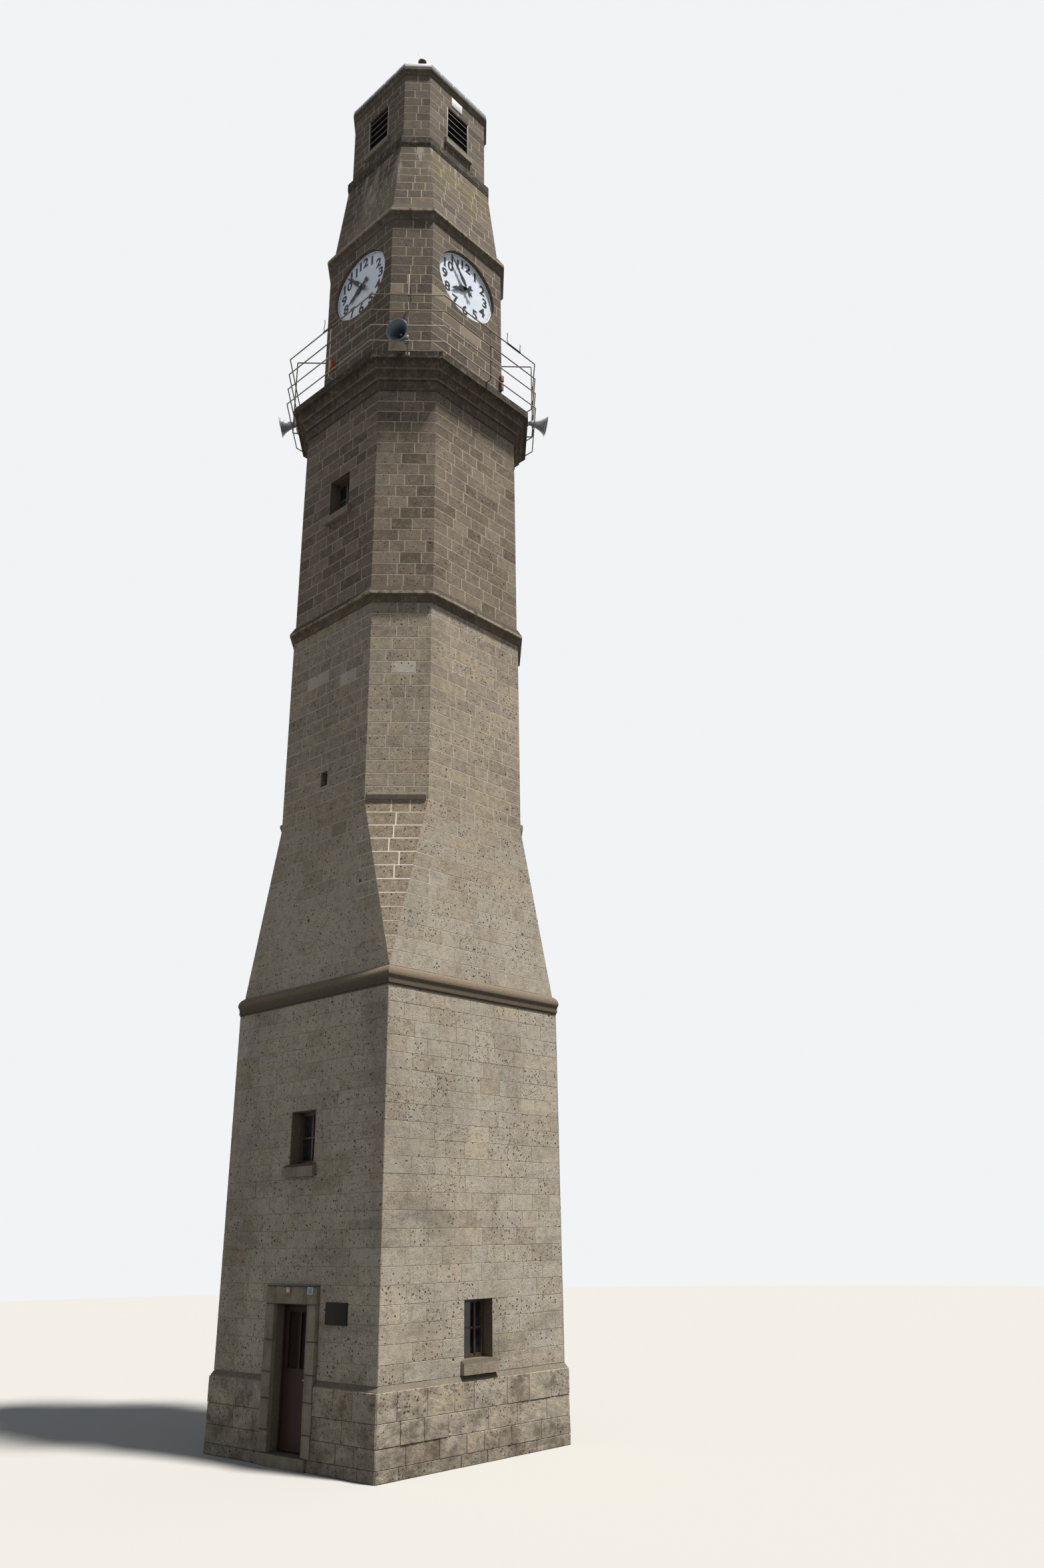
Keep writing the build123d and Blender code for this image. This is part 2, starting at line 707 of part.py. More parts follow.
def tapered_wall(half0, edge0, half1, edge1):
    """One main-face wall of the tapering stage."""
    lower = mitred_plan(half0, edge0, TAPER_Z)
    upper = mitred_plan(half1, edge1, STRING_4_Z)
    return between(lower, upper)


def mitred_plan(apothem, half_length, z):
    inner = half_length - OCTAGON_MITRE * TAPER_WALL
    return [
        (-half_length, -apothem, z),
        (half_length, -apothem, z),
        (inner, -apothem + TAPER_WALL, z),
        (-inner, -apothem + TAPER_WALL, z),
    ]


def make_taper():
    main = tapered_wall(TAPER_HALF, TAPER_EDGE, TAPER_TOP_HALF, TAPER_TOP_EDGE)
    foot = chamfer_face(TAPER_HALF, TAPER_EDGE)
    head = chamfer_face(TAPER_TOP_HALF, TAPER_TOP_EDGE)
    corner = tapered_wall(foot[0], foot[1], head[0], head[1])
    save("taper_faces", *[turned(main, k) for k in FACES])
    save("taper_corners", *[turned(corner, k, corner=True) for k in FACES])


def make_belfry():
    section = rectangle_section(BELFRY_WALL, BELFRY_Z, TOP_CORNICE_Z)
    mains, corners = octagon_ring(section, BELFRY_HALF, BELFRY_EDGE, BELFRY_WALL)
    hole = window_hole(LOUVRE, BELFRY_HALF, BELFRY_WALL)
    mains = [wall - turned(hole, k) for k, wall in enumerate(mains)]
    save("belfry_faces", *mains)
    save("belfry_corners", *corners)

    centre, half, low, high = LOUVRE
    front = -BELFRY_HALF + LOUVRE_RECESS
    back = front + LOUVRE_DEPTH
    frame = block(centre - half, centre + half, front, back, low, high)
    wide = half - LOUVRE_FRAME
    foot = low + LOUVRE_FRAME
    head = high - LOUVRE_FRAME
    frame = frame - block(centre - wide, centre + wide, front - 1, back + 1, foot, head)
    pitch = (head - foot) / LOUVRE_SLATS
    middle_y = (front + back) / 2
    slats = []
    for i in range(LOUVRE_SLATS):
        z = foot + pitch * (i + SLAT_OFFSET)
        slat = Pos(centre, middle_y, z) * Rot(SLAT_TILT, 0, 0) * Box(2 * wide, LOUVRE_DEPTH, SLAT_THICKNESS)
        slats.append(slat)
    save("louvre_frames", *[turned(frame, k) for k in FACES])
    save("louvre_slats", *[turned(slat, k) for k in FACES for slat in slats])


# Clock stage


def make_clock_stage():
    section = rectangle_section(CLOCK_WALL, SLAB_TOP, STRING_3_Z)
    mains, corners = octagon_ring(section, CLOCK_HALF, CLOCK_EDGE, CLOCK_WALL)
    recess_middle = -CLOCK_HALF + DIAL_RECESS / 2 - 5
    recess = rounded(DIAL_RECESS_RADIUS, DIAL_RECESS + 10, DIAL_SIDES)
    recess = Pos(0, recess_middle, DIAL_Z) * Rot(90, 0, 0) * recess
    mains = [wall - turned(recess, k) for k, wall in enumerate(mains)]
    save("clock_faces", *mains)
    save("clock_corners", *corners)

    back = -CLOCK_HALF + DIAL_RECESS
    front = back - DIAL_THICKNESS
    disc = face_disc(back, DIAL_RADIUS, DIAL_THICKNESS, DIAL_SIDES)
    arbor_plane = Plane(origin=(0, back, DIAL_Z), x_dir=(1, 0, 0), z_dir=(0, -1, 0))
    arbor = extrude(arbor_plane * Circle(ARBOR_RADIUS), DIAL_THICKNESS + ARBOR_CAP[1])
    cap = face_disc(front - ARBOR_CAP[0], ARBOR_RADIUS * 1.6, ARBOR_CAP[1] - ARBOR_CAP[0], BOSS_SIDES)
    save("dials", *[turned(disc + arbor + cap, k) for k in FACES])

    for k in FACES:
        hour, minute = HAND_TIMES[k]
        minute_angle = 6 * minute
        hour_angle = 30 * (hour + minute / 60)
        save("minute_hand_" + str(k + 1), turned(minute_hand(front, minute_angle), k))
        save("hour_hand_" + str(k + 1), turned(hour_hand(front, hour_angle), k))


def face_disc(y, radius, thickness, sides):
    """A many-sided plate on the dial's axis that starts at y and grows outwards."""
    plane = Plane(origin=(0, y, DIAL_Z), x_dir=(1, 0, 0), z_dir=(0, -1, 0))
    return extrude(plane * RegularPolygon(radius, sides), thickness)


def hand_solid(outline, boss, front, angle):
    """A hand turned clockwise from twelve, with its boss on the arbor."""
    bore = ARBOR_RADIUS + ARBOR_RUNNING_GAP
    middle = (boss[0] + boss[1] - HAND_THICKNESS) / 2
    blade_plane = Plane(origin=(0, front - middle, DIAL_Z), x_dir=(1, 0, 0), z_dir=(0, -1, 0))
    boss_plane = Plane(origin=(0, front - boss[0], DIAL_Z), x_dir=(1, 0, 0), z_dir=(0, -1, 0))
    blade = extrude(blade_plane * (Rot(0, 0, -angle) * outline), HAND_THICKNESS)
    ring = extrude(boss_plane * RegularPolygon(BOSS_RADIUS, BOSS_SIDES), boss[1] - boss[0])
    hole = extrude(boss_plane * Circle(bore), boss[1] - boss[0])
    return blade + ring - hole


def hand_outline(reach, width):
    """Leaf, small cross, pointed tip, and behind the arbor a stem with a crescent."""
    right = [
        (9, 0),
        (width, reach * 0.28),
        (7, reach * 0.52),
        (7, reach * 0.58),
        (width * 0.9, reach * 0.61),
        (7, reach * 0.65),
        (width * 0.45, reach * 0.74),
        (1.5, reach),
    ]
    left = [(-x, y) for x, y in reversed(right)]
    blade = make_face(Polyline(*right, *left, close=True))
    stem = Pos(0, -TAIL_REACH / 2) * Rectangle(TAIL_STEM_WIDTH, TAIL_REACH - 16)
    bite_rise, bite_radius = CRESCENT_BITE
    disc = Pos(0, -TAIL_REACH + CRESCENT_RADIUS) * RegularPolygon(CRESCENT_RADIUS, CRESCENT_SIDES)
    bite = Pos(0, -TAIL_REACH + bite_rise) * RegularPolygon(bite_radius, CRESCENT_SIDES)
    return blade + stem + (disc - bite)


def minute_hand(front, angle):
    return hand_solid(hand_outline(MINUTE_REACH, MINUTE_WIDTH), MINUTE_BOSS, front, angle)


def hour_hand(front, angle):
    return hand_solid(hand_outline(HOUR_REACH, HOUR_WIDTH), HOUR_BOSS, front, angle)


# Roof and finial


def roof_plan(half, edge, z):
    near = [(-edge, -half), (edge, -half), (half, -edge), (half, edge)]
    return [(x, y, z) for x, y in near] + [(-x, -y, z) for x, y in near]


def make_roof():
    half = BELFRY_HALF + ROOF_OVERHANG
    edge = BELFRY_EDGE + ROOF_OVERHANG * OCTAGON_MITRE
    neck = MAST_RADIUS * 2 / half
    eave_z = ROOF_Z + ROOF_EDGE
    apex_z = eave_z + ROOF_RISE
    lower = roof_plan(half, edge, ROOF_Z)
    eave = roof_plan(half, edge, eave_z)
    top = roof_plan(half * neck, edge * neck, apex_z)
    inner = 1 - ROOF_THICKNESS / half
    inner_lower = roof_plan(half * inner, edge * inner, ROOF_Z)
    inner_eave = roof_plan(half * inner, edge * inner, eave_z - ROOF_THICKNESS / 2)
    inner_top = roof_plan(half * neck, edge * neck, apex_z - ROOF_THICKNESS)
    shell = Part() + between(lower, eave) + between(eave, top)
    shell = shell - between(inner_lower, inner_eave) - between(inner_eave, inner_top)
    save("roof", shell)

    foot = ROOF_Z + ROOF_EDGE + ROOF_RISE
    head = foot + MAST_HEIGHT
    mast = Pos(0, 0, (foot + head) / 2) * rounded(MAST_RADIUS, MAST_HEIGHT, FINIAL_SIDES)
    profile = [(0, 0)]
    for i in range(DOME_STEPS):
        turn = math.pi / 2 * i / DOME_STEPS
        profile.append((DOME_RADIUS * math.cos(turn), DOME_RADIUS * math.sin(turn)))
    profile.append((0, DOME_RADIUS))
    dome = Pos(0, 0, head) * Rot(90, 0, 0) * faceted_turning(profile, FINIAL_SIDES)
    rod = Pos(0, 0, head + ROD_HEIGHT / 2) * rounded(ROD_RADIUS, ROD_HEIGHT)
    save("finial", mast + dome + rod)


# Railing


def rail_run(apothem, half_length, z):
    """A straight tube along one side, mitred to its neighbours."""
    tube = extrude(RegularPolygon(RAIL_RADIUS, TUBE_SIDES), half_length + 30, both=True)
    tube = Pos(0, -apothem, z) * Rot(0, 90, 0) * tube
    room = sector(apothem, half_length, 30, 30, OCTAGON_MITRE, z - 30, z + 30)
    return tube & room


def bent_tube(points, radius):
    """A tube mitred through points of the plane that stands outwards from the axis."""
    path = Polyline(*[(0, -s, z) for s, z in points])
    start = Plane(origin=path @ 0, z_dir=path % 0)
    return sweep(start * RegularPolygon(radius, TUBE_SIDES), path=path, transition=Transition.RIGHT)


def make_railing():
    far, length = chamfer_face(RAIL_HALF, RAIL_EDGE)
    mains = []
    corners = []
    for z in RAIL_HEIGHTS:
        main = rail_run(RAIL_HALF, RAIL_EDGE, z)
        corner = rail_run(far, length, z)
        mains += [turned(main, k) for k in FACES]
        corners += [turned(corner, k, corner=True) for k in FACES]
    save("rails_faces", *mains)
    save("rails_corners", *corners)

    post_s = RAIL_HALF - RAIL_RADIUS - POST_RADIUS
    foot_z = SLAB_TOP + POST_RADIUS
    post = bent_tube([(POST_FOOT_HALF, foot_z), (post_s, foot_z), (post_s, RAIL_HEIGHTS[-1])], POST_RADIUS)
    wall_s = chamfer_face(CLOCK_HALF, CLOCK_EDGE)[0]
    slab_s = chamfer_face(SHAFT_2_HALF, SHAFT_2_EDGE)[0] + SLAB_PROJECTION
    pole_s = far - RAIL_RADIUS - POST_RADIUS
    bracket = bent_tube(
        [(wall_s, BRACKET_TOP), (pole_s, BRACKET_TOP), (pole_s, BRACKET_FOOT_Z), (slab_s, BRACKET_FOOT_Z)],
        POST_RADIUS,
    )
    posts = [turned(post, k) for k in FACES]
    posts += [turned(bracket, k, corner=True) for k in FACES]
    save("rail_posts", *posts)


# Horns and service boxes


def horn():
    """A flared horn about its own axis, mouth at the origin and facing -Y, driver behind."""
    mouth = HORN_MOUTH_RADIUS
    throat = HORN_THROAT_RADIUS
    outer = []
    inner = []
    for i in range(HORN_STEPS + 1):
        back = HORN_LENGTH * i / HORN_STEPS
        radius = throat + (mouth - throat) * math.exp(-HORN_FLARE * i / HORN_STEPS)
        outer.append((radius, back))
        if i <= HORN_NECK_STEP:
            inner.append((radius - HORN_WALL, back))
    neck = HORN_LENGTH * HORN_NECK_STEP / HORN_STEPS
    driver_radius = throat + HORN_DRIVER_LIP
    driver_end = HORN_LENGTH + HORN_DRIVER_LENGTH
    driver = [(driver_radius, HORN_LENGTH), (driver_radius, driver_end), (0, driver_end)]
    plug = [(0, neck - HORN_PLUG_LENGTH), (HORN_PLUG_RADIUS, neck - HORN_PLUG_LENGTH), (HORN_PLUG_RADIUS, neck)]
    section = outer + driver + plug + inner[::-1]
    return faceted_turning(section, HORN_SIDES)


def make_horns():
    far = chamfer_face(RAIL_HALF, RAIL_EDGE)[0]
    pole_s = far - RAIL_RADIUS - POST_RADIUS
    horns = []
    for k in FACES:
        bell = Pos(0, -HORN_STAND, 0) * Rot(HORN_DROOP, 0, 0) * horn()
        bell = Pos(-HORN_SIDE, -pole_s, HORN_Z) * Rot(0, 0, -HORN_TURNS[k]) * bell
        low = HORN_Z + CLAMP_LOW
        high = HORN_Z + CLAMP_HIGH
        clamp = block(-HORN_SIDE, 0, -pole_s - CLAMP_HALF, -pole_s + CLAMP_HALF, low, high)
        pole = Pos(0, -pole_s, HORN_Z) * Cylinder(POST_RADIUS, HORN_LENGTH)
        horns.append(turned(bell + (clamp - pole), k, corner=True))
    save("horns", *horns)


def make_service_boxes():
    boxes = []
    places = (
        (0, DOOR_FACE_BOX, DOOR_FACE_BOX_DEPTH),
        (1, RIGHT_FACE_BOX, RIGHT_FACE_BOX_DEPTH),
        (1, LOWER_BOX, LOWER_BOX_DEPTH),
    )
    for quarter, room, depth in places:
        x0, x1, low, high = room
        boxes.append(turned(block(x0, x1, -CLOCK_HALF - depth, -CLOCK_HALF, low, high), quarter))
    save("service_boxes", *boxes)


make_base()
make_door()
make_openings()
make_broach()
make_shafts()
make_strings()
make_taper()
make_belfry()
make_clock_stage()
make_roof()
make_railing()
make_horns()
make_service_boxes()
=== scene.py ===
import math
import random

import bmesh
import bpy
from mathutils import Matrix, Vector


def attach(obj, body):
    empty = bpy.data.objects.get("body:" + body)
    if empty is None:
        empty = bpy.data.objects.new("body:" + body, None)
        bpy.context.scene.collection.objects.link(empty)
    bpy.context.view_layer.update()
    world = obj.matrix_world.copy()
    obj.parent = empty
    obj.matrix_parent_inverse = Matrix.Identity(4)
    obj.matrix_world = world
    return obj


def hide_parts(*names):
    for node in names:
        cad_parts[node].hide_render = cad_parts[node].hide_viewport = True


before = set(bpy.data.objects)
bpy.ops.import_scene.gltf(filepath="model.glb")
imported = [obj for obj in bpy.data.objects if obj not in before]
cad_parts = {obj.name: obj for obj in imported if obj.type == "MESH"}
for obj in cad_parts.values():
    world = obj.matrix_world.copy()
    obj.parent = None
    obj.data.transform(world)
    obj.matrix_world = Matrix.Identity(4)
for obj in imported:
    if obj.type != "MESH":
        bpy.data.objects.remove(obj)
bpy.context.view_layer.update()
bpy.ops.object.select_all(action="DESELECT")

# Heights and half widths of the stages, in metres, as in the part's source

FLOOR_TOP = 0.160
PLINTH_TOP = 1.114
BASE_FOOT = 1.182
BASE_STRING = 6.844
BROACH_FOOT = 7.164
SHAFT_1_FOOT = 10.190
STRING_2 = 14.106
SHAFT_2_FOOT = 14.462
CORNICE = 19.002
SLAB_TOP = 19.760
STRING_3 = 23.890
TAPER_FOOT = 24.424
STRING_4 = 26.478
BELFRY_FOOT = 26.900
TOP_CORNICE = 28.900
ROOF_FOOT = 29.118
ROOF_EDGE = 0.110
ROOF_APEX = 30.250

BASE_HALF = 2.000
PLINTH_HALF = 2.040
BROACH_HALF = 1.961
SHAFT_1_EDGE = 1.179
SHAFT_2_HALF = 1.965
SHAFT_2_EDGE = 1.149
CLOCK_HALF = 1.693
CLOCK_EDGE = 1.070
TAPER_HALF = 1.640
TAPER_EDGE = 1.009
TAPER_TOP_HALF = 1.409
TAPER_TOP_EDGE = 0.945
BELFRY_HALF = 1.334
BELFRY_EDGE = 0.909
ROOF_HALF = 1.384

COURSE = 0.252
DIAL_Z = 22.775
DIAL_FRONT = 1.610
RECESS_RADIUS = 0.858
# How far the blocks above the base stand out of their joints
SHAFT_PROUD = 0.0014
OCTAGON_MITRE = math.tan(math.radians(22.5))
ALONG_Y = (math.pi / 2, 0, 0)
TOWER = "tower"


# Nodes and colours


def to_linear(code):
    """An sRGB hex colour as the linear colour that Blender's sockets take."""
    values = [int(code[i:i + 2], 16) / 255 for i in (1, 3, 5)]
    return tuple(v / 12.92 if v <= 0.04045 else ((v + 0.055) / 1.055) ** 2.4 for v in values) + (1,)


def live_output(node):
    return next(socket for socket in node.outputs if socket.enabled)


def add(tree, kind, links=None, stops=None, **settings):
    """One node with its settings. An input takes a value, a hex colour, a socket, or a node's live output."""
    node = tree.nodes.new("ShaderNode" + kind)
    for name, value in settings.items():
        setattr(node, name, value)
    if stops:
        band = node.color_ramp
        band.elements.remove(band.elements[-1])
        band.elements[0].position = stops[0][0]
        band.elements[0].color = to_linear(stops[0][1])
        for place, code in stops[1:]:
            band.elements.new(place).color = to_linear(code)
    for name, value in (links or {}).items():
        if isinstance(value, bpy.types.Node):
            value = live_output(value)
        if isinstance(value, bpy.types.NodeSocket):
            tree.links.new(value, node.inputs[name])
        elif isinstance(value, str):
            node.inputs[name].default_value = to_linear(value)
        else:
            node.inputs[name].default_value = value
    return node


def calc(tree, operation, *values):
    return add(tree, "Math", dict(enumerate(values)), operation=operation)


def fade(tree, value, start=0.0, end=1.0, top=1.0, bottom=0.0):
    """Turns a value's run from start to end into a share that runs from bottom to top."""
    return add(tree, "MapRange", {
        "Value": value, "From Min": start, "From Max": end, "To Min": bottom, "To Max": top})


def mix(tree, share, under, over, **settings):
    return add(tree, "Mix", {0: share, 6: under, 7: over}, data_type="RGBA", **settings)


def tint(tree, shade, colour, pattern, start, end, most=1.0, within=None):
    """Lays a colour over a shade where a pattern's value runs from start to end."""
    share = fade(tree, pattern, start, end, most)
    if within is not None:
        share = calc(tree, "MULTIPLY", share, within)
    return mix(tree, share, shade, colour)


def noise(tree, place, scale, detail, roughness=0.5, drawn=None):
    if drawn:
        place = add(tree, "Mapping", {"Vector": place, "Scale": drawn})
    return add(tree, "TexNoise", {"Vector": place, "Scale": scale, "Detail": detail, "Roughness": roughness})


def new_material(name, roughness=0.5, metallic=0.0, specular=0.5):
    made = bpy.data.materials.new(name)
    made.use_nodes = True
    shader = made.node_tree.nodes["Principled BSDF"]
    shader.inputs["Roughness"].default_value = roughness
    shader.inputs["Metallic"].default_value = metallic
    shader.inputs["Specular IOR Level"].default_value = specular
    return made, made.node_tree, shader


def finish_surface(tree, shader, shade, height, relief, strength=0.9):
    """Puts a colour and a bump of a real depth on the surface."""
    bump = add(tree, "Bump", {"Height": height, "Distance": relief, "Strength": strength})
    tree.links.new(live_output(shade), shader.inputs["Base Color"])
    tree.links.new(bump.outputs["Normal"], shader.inputs["Normal"])


# Stone. Volcanic tuff sawn and dressed into ashlar: a mat grey-brown face full of dark
# vesicles and pale pumice grains, each block of its own shade.


def pits(tree, place, scale, rarity, widest, start, end, ragged=None):
    """Holes in a field of cells; a cell whose chance passes the rarity holds one, up to the widest."""
    cells = add(tree, "TexVoronoi", {"Vector": place, "Scale": scale, "Randomness": 1.0})
    chance = add(tree, "SeparateColor", {"Color": cells.outputs["Color"]})
    width = fade(tree, chance, rarity, 1.0, widest, -0.1)
    if ragged is not None:
        width = calc(tree, "SUBTRACT", width, ragged)
    inside = calc(tree, "SUBTRACT", width, cells.outputs["Distance"])
    return fade(tree, inside, start, end)


def tuff(name, stops, pit_share, stains, relief=0.006, new_stone="#9b907e", soil_top=0.0, pale="#c3b6a0",
         pumice="#cfc5b2"):
    """Dressed tuff. Each block's shade comes from its tone; a tone of 1 is a replaced block."""
    made, tree, shader = new_material(name, roughness=0.93, specular=0.25)
    place = add(tree, "TexCoord").outputs["Object"]
    x, _, z = add(tree, "SeparateXYZ", {"Vector": place}).outputs
    tone = add(tree, "Attribute", attribute_name="tone").outputs["Fac"]
    apart = add(tree, "VectorMath", {0: (37.0, 17.0, 53.0), "Scale": tone}, operation="SCALE")
    block = add(tree, "VectorMath", {0: place, 1: apart}, operation="ADD")
    shade = add(tree, "ValToRGB", {"Fac": tone}, stops=stops)
    # clouding inside a block, about 120 mm across
    cloud = noise(tree, block, 8.0, 5.0, 0.68)
    shade = tint(tree, shade, pale, cloud, 0.48, 0.68, 0.36)
    shade = tint(tree, shade, "#564b3f", cloud, 0.50, 0.32, 0.34)
    # ash and pumice grains of 8 to 15 mm, salt and pepper over the face
    grain = noise(tree, block, 75.0, 2.0, 0.75)
    shade = tint(tree, shade, pumice, grain, 0.55, 0.63, 0.45)
    shade = tint(tree, shade, "#3f372e", grain, 0.44, 0.36, 0.70)
    # replaced blocks: paler, with less soot
    shade = tint(tree, shade, new_stone, tone, 0.985, 0.995)
    # weather staining over whole courses, about 1.5 m across, drawn out downwards
    stain = noise(tree, place, 1.0, 6.0, 0.62, drawn=(0.9, 0.9, 0.35))
    shade = tint(tree, shade, "#4a4138", stain, 0.48, 0.70, stains)
    # vesicles: a cell every 45 mm, of which a share holds a hole of 8 to 30 mm
    pit = pits(tree, block, 22.0, 1 - pit_share, 0.40, 0.0, 0.07)
    # small vesicles of 5 to 9 mm in every patch of 20 mm
    fine_pit = pits(tree, block, 50.0, 0.45, 0.44, 0.0, 0.10)
    # clusters of cavities of 30 to 60 mm
    cavity = pits(tree, block, 7.5, 0.86, 0.26, -0.16, -0.06, ragged=calc(tree, "MULTIPLY", cloud, 0.35))
    # the holes' dark colours are painted shade, standing for the shade inside each hole
    holes = (fine_pit, 0.55, "#352e27"), (pit, 0.85, "#26211c"), (cavity, 0.8, "#2c261f")
    for hole, share, colour in holes:
        shade = mix(tree, calc(tree, "MULTIPLY", hole, share), shade, colour)
    if soil_top:
        # rain wets the same courses each time, so pale and grey bands lie level along the wall
        level_band = noise(tree, place, 1.0, 7.0, 0.68, drawn=(0.5, 0.5, 1.7))
        wetted = fade(tree, z, 5.4, 4.4)
        shade = tint(tree, shade, "#6f695d", level_band, 0.52, 0.66, 0.55, within=wetted)
        shade = tint(tree, shade, "#bdb7a8", level_band, 0.46, 0.34, 0.45, within=wetted)
        # splashed soil and damp near the ground, uneven along its top
        reach = calc(tree, "ADD", z, calc(tree, "MULTIPLY", stain, 3.4))
        shade = tint(tree, shade, "#5f5345", reach, soil_top + 1.7, 1.6, 0.50)
        # the stone turns browner where the broach meets the shaft
        shade = mix(tree, fade(tree, z, 8.2, 10.2), shade, "#edeae6", blend_type="MULTIPLY")
        # the plinth's face has scaled off in patches, brown where it is damp and pale where it is fresh
        patch = noise(tree, place, 2.8, 6.0, 0.72)
        low = fade(tree, z, 1.13, 1.09)
        shade = tint(tree, shade, "#5b4e40", patch, 0.50, 0.60, 0.62, within=low)
        shade = tint(tree, shade, "#bfb19a", patch, 0.45, 0.37, 0.55, within=low)
    else:
        # soot and green stain that run down from the fourth string course, greener on the sunny side
        run = noise(tree, place, 1.0, 5.0, 0.7, drawn=(5.0, 5.0, 0.5))
        zone = calc(tree, "MULTIPLY", fade(tree, z, 24.7, 25.9), fade(tree, z, 26.62, 26.56))
        growth = mix(tree, fade(tree, x, 0.9, 1.5), "#3f3a33", "#716643")
        shade = tint(tree, shade, growth, run, 0.46, 0.58, 0.90, within=zone)
        shade = tint(tree, shade, "#aaa293", run, 0.45, 0.38, 0.60, within=zone)
    height = calc(tree, "MULTIPLY_ADD", grain, 0.45, cloud)
    for hole, depth in ((pit, -1.4), (fine_pit, -0.6), (cavity, -2.2)):
        height = calc(tree, "MULTIPLY_ADD", hole, depth, height)
    finish_surface(tree, shader, shade, height, relief)
    return made


BASE_STOPS = [
    (0.00, "#8d7f6d"), (0.015, "#8d7f6d"), (0.02, "#a69a88"), (0.30, "#b2a898"), (0.55, "#b5ac9e"),
    (0.80, "#b2ab9d"), (0.93, "#b8ac98"), (1.00, "#bcb2a0"),
]
SHAFT_STOPS = [
    (0.00, "#86796a"), (0.10, "#908475"), (0.40, "#9a8e7e"),
    (0.70, "#9e9282"), (0.92, "#a3947c"), (1.00, "#a79c8a"),
]
UPPER_STOPS = [
    (0.00, "#53483d"), (0.10, "#62564a"), (0.25, "#716457"),
    (0.60, "#7b6e61"), (0.85, "#827566"), (1.00, "#8c8071"),
]
TOP_STOPS = [
    (0.00, "#453b32"), (0.10, "#4f453b"), (0.28, "#5c5146"),
    (0.60, "#64594d"), (0.85, "#6b5f52"), (1.00, "#766a5c"),
]

base_tuff = tuff("dressed_tuff_of_the_base", BASE_STOPS, 0.55, 0.32, relief=0.010, soil_top=1.3)
shaft_tuff = tuff("dressed_tuff_of_the_lower_shaft", SHAFT_STOPS, 0.45, 0.32, new_stone="#b9b1a3")
upper_tuff = tuff(
    "brown_tuff_of_the_upper_shaft", UPPER_STOPS, 0.42, 0.35, new_stone="#9c9180", pale="#a5987f",
    pumice="#b3a792")
top_tuff = tuff(
    "dark_brown_tuff_of_the_clock_stage_and_belfry", TOP_STOPS, 0.42, 0.40, new_stone="#8d8171",
    pale="#85786a", pumice="#968a7a")


# Walls behind the blocks: lime mortar in the joints, and bare tuff in the reveals and inside.


def wall_core(name, mortar, stone, moulded_from=99.0, white_joints=False):
    """Mortar on the outer face up to the moulded string, and stone on the string and inside."""
    made, tree, shader = new_material(name, roughness=0.95, specular=0.2)
    coords = add(tree, "TexCoord")
    place, normal = coords.outputs["Object"], coords.outputs["Normal"]
    x, y, z = add(tree, "SeparateXYZ", {"Vector": place}).outputs
    rough = noise(tree, place, 22.0, 5.0, 0.7)
    lime = mix(tree, fade(tree, noise(tree, place, 1.6, 4.0), 0.40, 0.62), mortar[0], mortar[1])
    lime = tint(tree, lime, mortar[2], rough, 0.52, 0.36, 0.75)
    if white_joints:
        # the joints that were pointed again in white lime, on the near corner face of the broach
        near = fade(tree, calc(tree, "SUBTRACT", x, y), 2.95, 3.05)
        white = calc(tree, "MULTIPLY", near, fade(tree, z, 8.2, 8.5))
        white = calc(tree, "MULTIPLY", white, fade(tree, z, 10.0, 9.8))
        lime = mix(tree, white, lime, "#dcd5c6")
    body = mix(tree, fade(tree, rough, 0.35, 0.65), stone[0], stone[1])
    # painted shade on the lower half of the moulded string, under its roll
    under = fade(tree, z, moulded_from + 0.19, moulded_from + 0.08, 0.65)
    under = calc(tree, "MULTIPLY", under, fade(tree, z, moulded_from, moulded_from + 0.01))
    body = mix(tree, under, body, "#453e35")
    # the outer face turns from the tower's axis; reveals and inner faces don't
    outward = add(tree, "VectorMath", {0: place, 1: (1.0, 1.0, 0.0)}, operation="MULTIPLY")
    outward = add(tree, "VectorMath", {0: outward}, operation="NORMALIZE")
    facing = add(tree, "VectorMath", {0: outward, 1: normal}, operation="DOT_PRODUCT")
    plain = fade(tree, z, moulded_from + 0.004, moulded_from - 0.004)
    shade = mix(tree, calc(tree, "MULTIPLY", fade(tree, facing, 0.40, 0.55), plain), body, lime)
    # the sloped top of the plinth and other ledges hold dark, bluish soot
    turn_z = add(tree, "SeparateXYZ", {"Vector": normal}).outputs["Z"]
    ledge = fade(tree, turn_z, 0.25, 0.45, 0.75)
    ledge = calc(tree, "MULTIPLY", ledge, fade(tree, rough, 0.35, 0.50, 1.0, 0.35))
    ledge = calc(tree, "MULTIPLY", ledge, fade(tree, z, 6.0, 5.0, 1.0, 0.3))
    shade = mix(tree, ledge, shade, "#514d45")
    # painted shade in hollows and recesses, by ambient occlusion
    hollow_shade = add(tree, "AmbientOcclusion", {"Distance": 0.10}, samples=4)
    shade = tint(tree, shade, "#2f2923", hollow_shade.outputs["AO"], 0.75, 0.35, 0.6)
    finish_surface(tree, shader, shade, rough, 0.004)
    return made


base_core = wall_core(
    "earth_and_lime_joints_of_the_base", ("#938878", "#a59a89", "#7c7162"), ("#6c6052", "#7d705f"),
    BASE_STRING, True)
shaft_core = wall_core(
    "lime_joints_of_the_lower_shaft", ("#b9ae9c", "#c6bcaa", "#958978"), ("#7d7263", "#988c7b"),
    white_joints=True)
upper_core = wall_core(
    "lime_joints_of_the_upper_stages", ("#a79b88", "#b7ab97", "#8c806f"), ("#5a4f44", "#76695a"))
